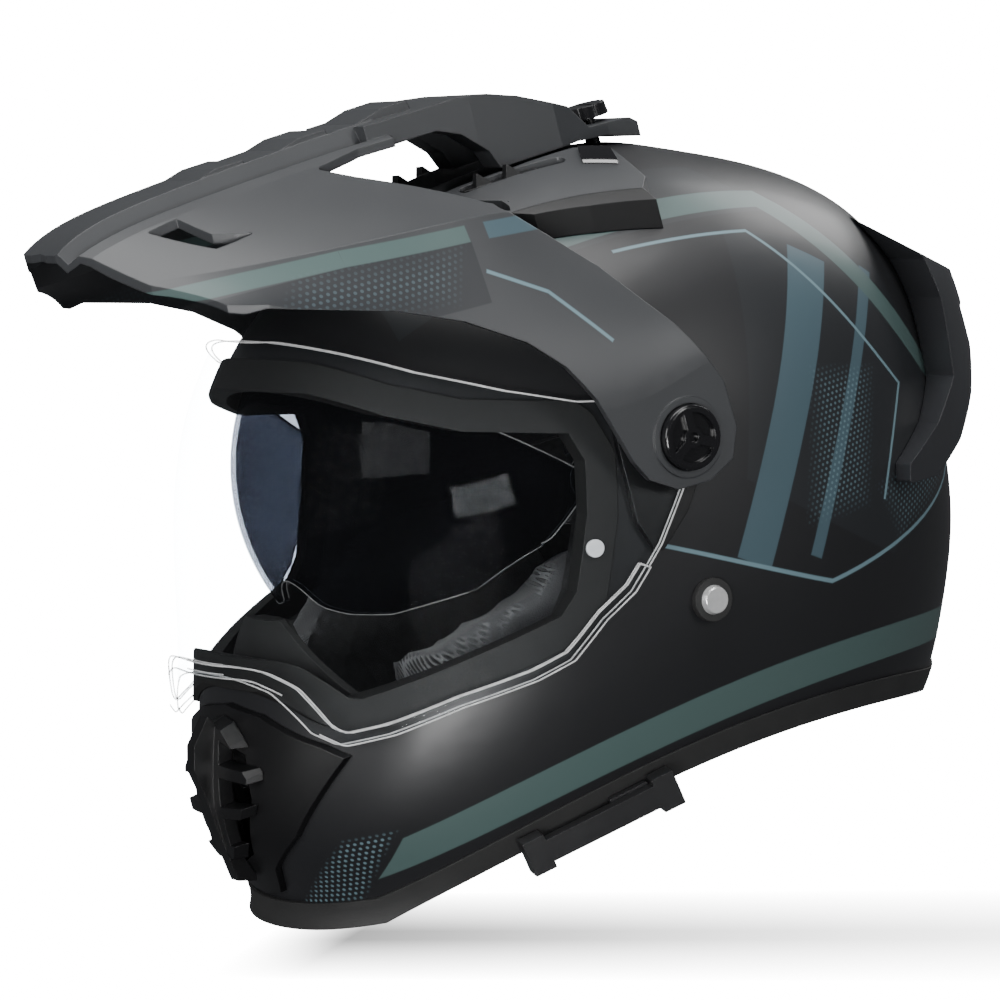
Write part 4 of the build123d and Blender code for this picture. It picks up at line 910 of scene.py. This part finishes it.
class HELMET_OT_shell(bpy.types.Operator):
    """Paint the outer shell"""

    bl_idname = "helmet.shell"
    bl_label = "Outer shell"

    def execute(self, context):
        paint(shell_paint(), "outer_shell")
        return {"FINISHED"}


class HELMET_OT_peak(bpy.types.Operator):
    """Finish the peak, its three screws and the vent caps"""

    bl_idname = "helmet.peak"
    bl_label = "Peak"

    def execute(self, context):
        paint(peak_paint(), "peak")
        paint(
            moulded("gloss_black", (0.008, 0.008, 0.009), roughness=0.12, depth=0.000004),
            "peak_screw_left", "peak_screw_right", "crown_screw", "vent_caps",
        )
        return {"FINISHED"}


class HELMET_OT_vents(bpy.types.Operator):
    """Finish the vents, their sliders, the spoiler, the chin mask and the side plates"""

    bl_idname = "helmet.vents"
    bl_label = "Vents and spoiler"

    def execute(self, context):
        paint(
            moulded("grey_plastic", (0.040, 0.042, 0.045), roughness=0.38),
            "top_vent_left", "top_vent_right",
        )
        paint(
            moulded("black_plastic", (0.0035, 0.0035, 0.004), roughness=0.38),
            "chin_panel", "chin_vent_grille", "chin_vent_shutter", "vent_slider_left", "vent_slider_right",
            "vent_scoop_left", "vent_scoop_right", "spoiler_louvres", "base_plate_left", "base_plate_right",
        )
        paint(moulded("spoiler_plastic", (0.024, 0.025, 0.028), roughness=0.32), "rear_spoiler")
        return {"FINISHED"}


class HELMET_OT_lenses(bpy.types.Operator):
    """Make the face shield clear and the sun visor smoked, with painted glints on beads along their edges
    """

    bl_idname = "helmet.lenses"
    bl_label = "Lenses"

    def execute(self, context):
        clear = clear_plastic(
            "clear_lens", tint=(0.97, 0.98, 0.985), body=(0.30, 0.31, 0.33), haze=0.004, shine=0.16
        )
        smoke = clear_plastic(
            "smoke_lens", tint=(0.225, 0.235, 0.26), body=(0.012, 0.014, 0.02), haze=0.15, shine=0.12
        )
        paint(clear, "face_shield")
        paint(smoke, "sun_visor")
        paint(moulded("white_plastic", (0.75, 0.76, 0.78), roughness=0.15), "insert_pins")
        # Whitish beads on the shield's sharp edges: painted glints where the clear edge catches the light.
        bead = Finish("polished_edge")
        cloud = bead.noise(0.004, detail=3.0)
        bead.set(
            Base_Color=bead.mix(cloud, grey(0.55), grey(0.95)), Roughness=0.05, Alpha=cloud * 0.5 + 0.35
        )
        shield_runs = sharp_edges("face_shield", LENS_EDGE_ANGLE)
        glint = thread("shield_edge", shield_runs, SHIELD_BEAD, bead.material)
        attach(glint, "face_shield")
        # Grey beads on the visor's sharp edges, paler than the smoke: painted glints on its edges.
        dark = Finish("smoked_edge")
        dark.set(Base_Color=dark.mix(dark.noise(0.004), grey(0.05), grey(0.25)), Roughness=0.08)
        visor_runs = sharp_edges("sun_visor", LENS_EDGE_ANGLE)
        rim = thread("visor_edge", visor_runs, VISOR_BEAD, dark.material)
        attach(rim, "sun_visor")
        return {"FINISHED"}


class HELMET_OT_rubber(bpy.types.Operator):
    """Finish the rim trim, the gasket, the breath deflector and the rivet rings"""

    bl_idname = "helmet.rubber"
    bl_label = "Rubber"

    def execute(self, context):
        paint(rubbery("edge_rubber", 0.016), "rim_trim", "rivet_rings")
        paint(rubbery("gasket_rubber", 0.004), "eyeport_seal")
        paint(rubbery("soft_rubber", 0.014), "breath_deflector")
        return {"FINISHED"}


class HELMET_OT_fittings(bpy.types.Operator):
    """Finish the rivets, the visor's rail, slider and pins, and the buckle"""

    bl_idname = "helmet.fittings"
    bl_label = "Fittings"

    def execute(self, context):
        steel = Finish("rivet_steel")
        brushed = steel.noise(0.002, detail=2.0)
        steel.set(
            Base_Color=steel.mix(brushed, grey(0.75), grey(0.92)), Metallic=0.6,
            Roughness=brushed * 0.1 + 0.16,
        )
        steel.relief(brushed, 0.000006, edge=0.0004)
        paint(steel.material, "strap_rivets", "buckle_body", "lever_pin")
        paint(
            moulded("rail_plastic", (0.009, 0.009, 0.010), roughness=0.34),
            "visor_rail", "visor_slider", "sun_visor_pins", "ratchet_tongue",
        )
        paint(moulded("red_plastic", (0.35, 0.02, 0.02)), "release_lever")
        return {"FINISHED"}


class HELMET_OT_foam(bpy.types.Operator):
    """Finish the impact foam"""

    bl_idname = "helmet.foam"
    bl_label = "Impact foam"

    def execute(self, context):
        paint(bead_foam("foam", (0.016, 0.016, 0.017)), "eps_liner", "chin_foam")
        return {"FINISHED"}


class HELMET_OT_linings(bpy.types.Operator):
    """Stuff and sew the cheek pads, the crown pad and the neck roll"""

    bl_idname = "helmet.linings"
    bl_label = "Linings"

    def execute(self, context):
        tone = colours()
        cheek_cloth = knitted("cheek_cloth", tone.brushed_grey, tone.knit_grey, sizes().knit_pitch)
        dark_cloth = lining_cloth("dark_lining", tone.lining_black, 12.0, sizes().quilt_pitch)
        kinds = {
            "cheek_pad_left": cheek_cloth, "cheek_pad_right": cheek_cloth,
            "crown_pad": dark_cloth, "neck_roll": dark_cloth,
        }
        covers = {node: start_cover(node + "_cover", node) for node in kinds}
        swell(list(covers.values()))
        for node, cover in covers.items():
            finer(cover)
            quilt(cover, sizes().quilt_pitch, sizes().quilt_depth)
            cover.data.materials.clear()
            cover.data.materials.append(kinds[node])
            dress(cover, node, PAD_FILL)
        return {"FINISHED"}


class HELMET_OT_curtain(bpy.types.Operator):
    """Make the chin curtain of cloth"""

    bl_idname = "helmet.curtain"
    bl_label = "Chin curtain"

    def execute(self, context):
        cloth = lining_cloth("curtain_cloth", colours().lining_black, 1.5, sizes().quilt_pitch)
        body = merged_body("chin_curtain")
        long_edges = [edge for edge in body.edges if edge.calc_length() > CURTAIN_EDGE]
        bmesh.ops.subdivide_edges(body, edges=long_edges, cuts=2, use_grid_fill=True)
        mesh = bpy.data.meshes.new("chin_curtain_cloth")
        body.to_mesh(mesh)
        body.free()
        curtain = new_piece("chin_curtain_cloth", mesh, cloth)
        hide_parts("chin_curtain")
        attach(curtain, "shell")
        return {"FINISHED"}


def strap_line(low, high):
    """The strap's middle line, smoothed from its rough path inside its box."""
    reach, rise = high.x - low.x - STRAP_WALL, high.z - low.z - STRAP_WALL
    middle = (low.y + high.y) / 2
    seat = high.x - STRAP_WALL / 2
    base = low.z + STRAP_WALL / 2
    rough = [(seat + across * reach, middle, base + up * rise) for across, up in STRAP_PATH_SHARES]
    line = bpy.data.curves.new("strap_line", "CURVE")
    line.dimensions = "3D"
    spline = line.splines.new("NURBS")
    spline.points.add(len(rough) - 1)
    for point, place in zip(spline.points, rough):
        point.co = (*place, 1.0)
    spline.order_u = 3
    spline.use_endpoint_u = True
    spline.resolution_u = STRAP_STEPS
    holder = bpy.data.objects.new("strap_line", line)
    mesh = bpy.data.meshes.new_from_object(holder)
    places = [point.co.copy() for point in mesh.vertices]
    bpy.data.objects.remove(holder)
    bpy.data.meshes.remove(mesh)
    return places


def strap_body(name, places, width, side, material):
    """A flat ribbed ribbon along the places, closed at its ends, with its own coordinates."""
    ribs = sizes().strap_ribs
    body = bmesh.new()
    sheet = body.loops.layers.uv.new("UVMap")
    across_count = ribs * 4
    rings, lengths, run = [], [], 0.0
    for number, place in enumerate(places):
        before = places[max(number - 1, 0)]
        after = places[min(number + 1, len(places) - 1)]
        along = (after - before).normalized()
        out = Vector((0.0, 1.0, 0.0)).cross(along).normalized()
        if number:
            run += (place - before).length
        lengths.append(run)
        ring = []
        for face in (1.0, -1.0):
            for step in range(across_count + 1):
                share = step / across_count
                rib = abs(math.sin(math.pi * ribs * share)) * STRAP_RIB_HEIGHT
                edge = min(1.0, 8.0 * min(share, 1.0 - share) + 0.25)
                spot = place + out * face * (STRAP_WALL / 2 * edge - STRAP_RIB_HEIGHT + rib)
                spot = spot + Vector((0.0, (share - 0.5) * width * face, 0.0))
                ring.append(body.verts.new((spot.x * side, spot.y, spot.z)))
        rings.append(ring)
    count = len(rings[0])
    for number in range(len(rings) - 1):
        here, onward = rings[number], rings[number + 1]
        for step in range(count):
            after = (step + 1) % count
            face = body.faces.new((here[step], here[after], onward[after], onward[step]))
            spots = ((number, step), (number, step + 1), (number + 1, step + 1), (number + 1, step))
            for loop, (row, column) in zip(face.loops, spots):
                loop[sheet].uv = (lengths[row], column / across_count * width)
            face.smooth = True
    body.faces.new(list(reversed(rings[0])))
    body.faces.new(rings[-1])
    bmesh.ops.recalc_face_normals(body, faces=body.faces)
    mesh = bpy.data.meshes.new(name)
    body.to_mesh(mesh)
    body.free()
    return new_piece(name, mesh, material)


class HELMET_OT_straps(bpy.types.Operator):
    """Weave the two chin straps and stitch their edges"""

    bl_idname = "helmet.straps"
    bl_label = "Chin straps"

    def execute(self, context):
        low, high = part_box("chin_strap_left")
        places = strap_line(low, high)
        width = high.y - low.y
        web = webbing("webbing", (0.012, 0.012, 0.013))
        yarn = moulded("yarn", (0.045, 0.046, 0.05), roughness=0.8)
        stitch = small_block("stitch", *STITCH_SIZES)
        for label, side in (("left", 1.0), ("right", -1.0)):
            strap = strap_body("strap_web_" + label, places, width, side, web)
            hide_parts("chin_strap_" + label)
            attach(strap, "shell")
            rows = []
            for spot, along in spread(places, sizes().stitch_step):
                out = Vector((0.0, 1.0, 0.0)).cross(along).normalized()
                for edge in (-1.0, 1.0):
                    for face in (-1.0, 1.0):
                        seat = spot + out * face * STRAP_WALL / 2
                        seat.y += edge * (width / 2 - STITCH_EDGE)
                        rows.append((
                            (seat.x * side, seat.y, seat.z), (out.x * side, out.y, out.z),
                            (along.x * side, along.y, along.z),
                        ))
            seam = copies("strap_stitches_" + label, stitch, rows, yarn)
            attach(seam, "shell")
        return {"FINISHED"}


# Stage: floor, lights and camera


CAMERA_PLACE = (1.57105, -0.88798, 0.49878)
CAMERA_AZIMUTH = 61.106
CAMERA_ELEVATION = 11.692
CAMERA_ROLL = -14.50
CAMERA_LENS = 164.42
CAMERA_SENSOR = 36.0


def look_from(azimuth, elevation, roll):
    """The turn of a camera that looks at the helmet from that side."""
    turn, lift, lean = (math.radians(angle) for angle in (azimuth, elevation, roll))
    back = Vector((math.sin(turn) * math.cos(lift), -math.cos(turn) * math.cos(lift), math.sin(lift)))
    level = Vector((math.cos(turn), math.sin(turn), 0.0))
    upright = back.cross(level)
    right = level * math.cos(lean) + upright * math.sin(lean)
    above = upright * math.cos(lean) - level * math.sin(lean)
    return Matrix((right, above, back)).transposed().to_4x4()


def soft_light(name, place, target, width, height, power):
    """A studio softbox that faces the target."""
    lamp = bpy.data.lights.new(name, "AREA")
    lamp.shape = "RECTANGLE"
    lamp.size, lamp.size_y = width, height
    lamp.energy = power
    holder = bpy.data.objects.new(name, lamp)
    bpy.context.scene.collection.objects.link(holder)
    turn = (Vector(place) - Vector(target)).to_track_quat("Z", "Y")
    holder.matrix_world = Matrix.Translation(Vector(place)) @ turn.to_matrix().to_4x4()


FLOOR_REACH = 80.0
FLOOR_GLOW = 18.0
FLOOR_CLOUD = 0.4
# The soft shadow runs back from its start: turn in degrees, half width with its blur, and depth.
SHADOW_START = (0.0, -0.178)
SHADOW_TURN = 20.4
SHADOW_SPREAD = (0.024, 0.040)
SHADOW_RISE = (0.03, 0.05)
SHADOW_FADE = 0.7
SHADOW_DEPTH = 0.74
SHADOW_POWER = 3.0
# Middle, half width and half length of the painted shade on the floor inside the rim.
RIM_SHADE = (-0.024, -0.016, 0.040, 0.115)
RIM_SHADE_BLUR = 0.25
WORLD_STRENGTH = 0.10
# Each softbox: its name, place, target, width, height and power.
LIGHTS = (
    ("overhead", (0.15, 0.15, 1.7), (0.0, 0.0, 0.20), 1.1, 1.5, 34),
    ("front", (0.55, -1.75, 1.05), (0.0, -0.05, 0.20), 1.2, 0.9, 26),
    ("cheek", (1.45, -0.95, 0.05), (0.05, -0.05, 0.08), 0.9, 0.5, 30),
    ("side", (1.7, 0.75, 0.75), (0.1, 0.05, 0.15), 0.35, 1.3, 12),
    ("rear", (-0.5, 1.9, 1.1), (0.0, 0.1, 0.18), 0.9, 1.1, 20),
)


def floor_paper():
    """Pale paper that glows, but for the helmet's painted soft shadow and the painted shade inside its rim.
    """
    paper = Finish("floor_paper")
    turn = math.radians(SHADOW_TURN)
    side, back = paper.x - SHADOW_START[0], paper.y - SHADOW_START[1]
    run = side * math.cos(turn) + back * math.sin(turn)
    aside = abs(back * math.cos(turn) - side * math.sin(turn))
    dark = (1.0 - aside.over(*SHADOW_SPREAD)) ** SHADOW_FADE * run.over(*SHADOW_RISE) * (SHADOW_DEPTH - run)
    # Painted shade: the floor inside the helmet's rim loses its glow and turns dark.
    across, along = (paper.x - RIM_SHADE[0]) / RIM_SHADE[2], (paper.y - RIM_SHADE[1]) / RIM_SHADE[3]
    beside = ((across * across + along * along) ** 0.5).over(1.0, RIM_SHADE_BLUR)
    glow = (1.0 - dark) ** SHADOW_POWER * beside
    pale = paper.mix(paper.noise(FLOOR_CLOUD), grey(0.86), grey(0.9))
    paper.set(
        Base_Color=paper.mix(glow, grey(0.05), pale), Roughness=0.9,
        Emission_Color=paper.mix(glow, grey(0.0), grey(1.0)), Emission_Strength=FLOOR_GLOW,
    )
    return paper.material


class HELMET_OT_stage(bpy.types.Operator):
    """Set up the floor, the lights and the camera"""

    bl_idname = "helmet.stage"
    bl_label = "Stage"

    def execute(self, context):
        scene = context.scene
        lens = bpy.data.cameras.new("camera")
        lens.lens = CAMERA_LENS
        lens.sensor_width = CAMERA_SENSOR
        camera = bpy.data.objects.new("camera", lens)
        scene.collection.objects.link(camera)
        camera.matrix_world = Matrix.Translation(Vector(CAMERA_PLACE)) @ look_from(
            CAMERA_AZIMUTH, CAMERA_ELEVATION, CAMERA_ROLL
        )
        scene.camera = camera

        ground = bpy.data.meshes.new("floor")
        reach = FLOOR_REACH
        corners = [(-reach, -reach, 0), (reach, -reach, 0), (reach, reach, 0), (-reach, reach, 0)]
        ground.from_pydata(corners, [], [(0, 1, 2, 3)])
        floor = bpy.data.objects.new("floor", ground)
        scene.collection.objects.link(floor)
        ground.materials.append(floor_paper())
        floor.visible_diffuse = False
        floor.visible_glossy = False

        for name, place, target, width, height, power in LIGHTS:
            soft_light(name, place, target, width, height, power)

        world = bpy.data.worlds.new("studio")
        world.use_nodes = True
        world.node_tree.nodes["Background"].inputs[0].default_value = (0.92, 0.95, 1.0, 1.0)
        world.node_tree.nodes["Background"].inputs[1].default_value = WORLD_STRENGTH
        scene.world = world
        return {"FINISHED"}


class HELMET_PT_panel(bpy.types.Panel):
    """Steps that dress the helmet"""

    bl_label = "Helmet"
    bl_idname = "HELMET_PT_panel"
    bl_space_type = "VIEW_3D"
    bl_region_type = "UI"
    bl_category = "Helmet"

    def draw(self, context):
        for step in STEPS:
            self.layout.operator(step.bl_idname)


STEPS = (
    HELMET_OT_stage, HELMET_OT_shell, HELMET_OT_peak, HELMET_OT_vents, HELMET_OT_lenses, HELMET_OT_rubber,
    HELMET_OT_fittings, HELMET_OT_foam, HELMET_OT_linings, HELMET_OT_curtain, HELMET_OT_straps,
)
CLASSES = (HelmetSizes, HelmetColours, *STEPS, HELMET_PT_panel)


def register():
    for entry in CLASSES:
        bpy.utils.register_class(entry)
    bpy.types.Scene.helmet_sizes = PointerProperty(type=HelmetSizes)
    bpy.types.Scene.helmet_colours = PointerProperty(type=HelmetColours)


def unregister():
    del bpy.types.Scene.helmet_sizes
    del bpy.types.Scene.helmet_colours
    for entry in reversed(CLASSES):
        bpy.utils.unregister_class(entry)


def main():
    register()
    for step in STEPS:
        group, name = step.bl_idname.split(".")
        getattr(getattr(bpy.ops, group), name)()


if __name__ == "__main__":
    main()
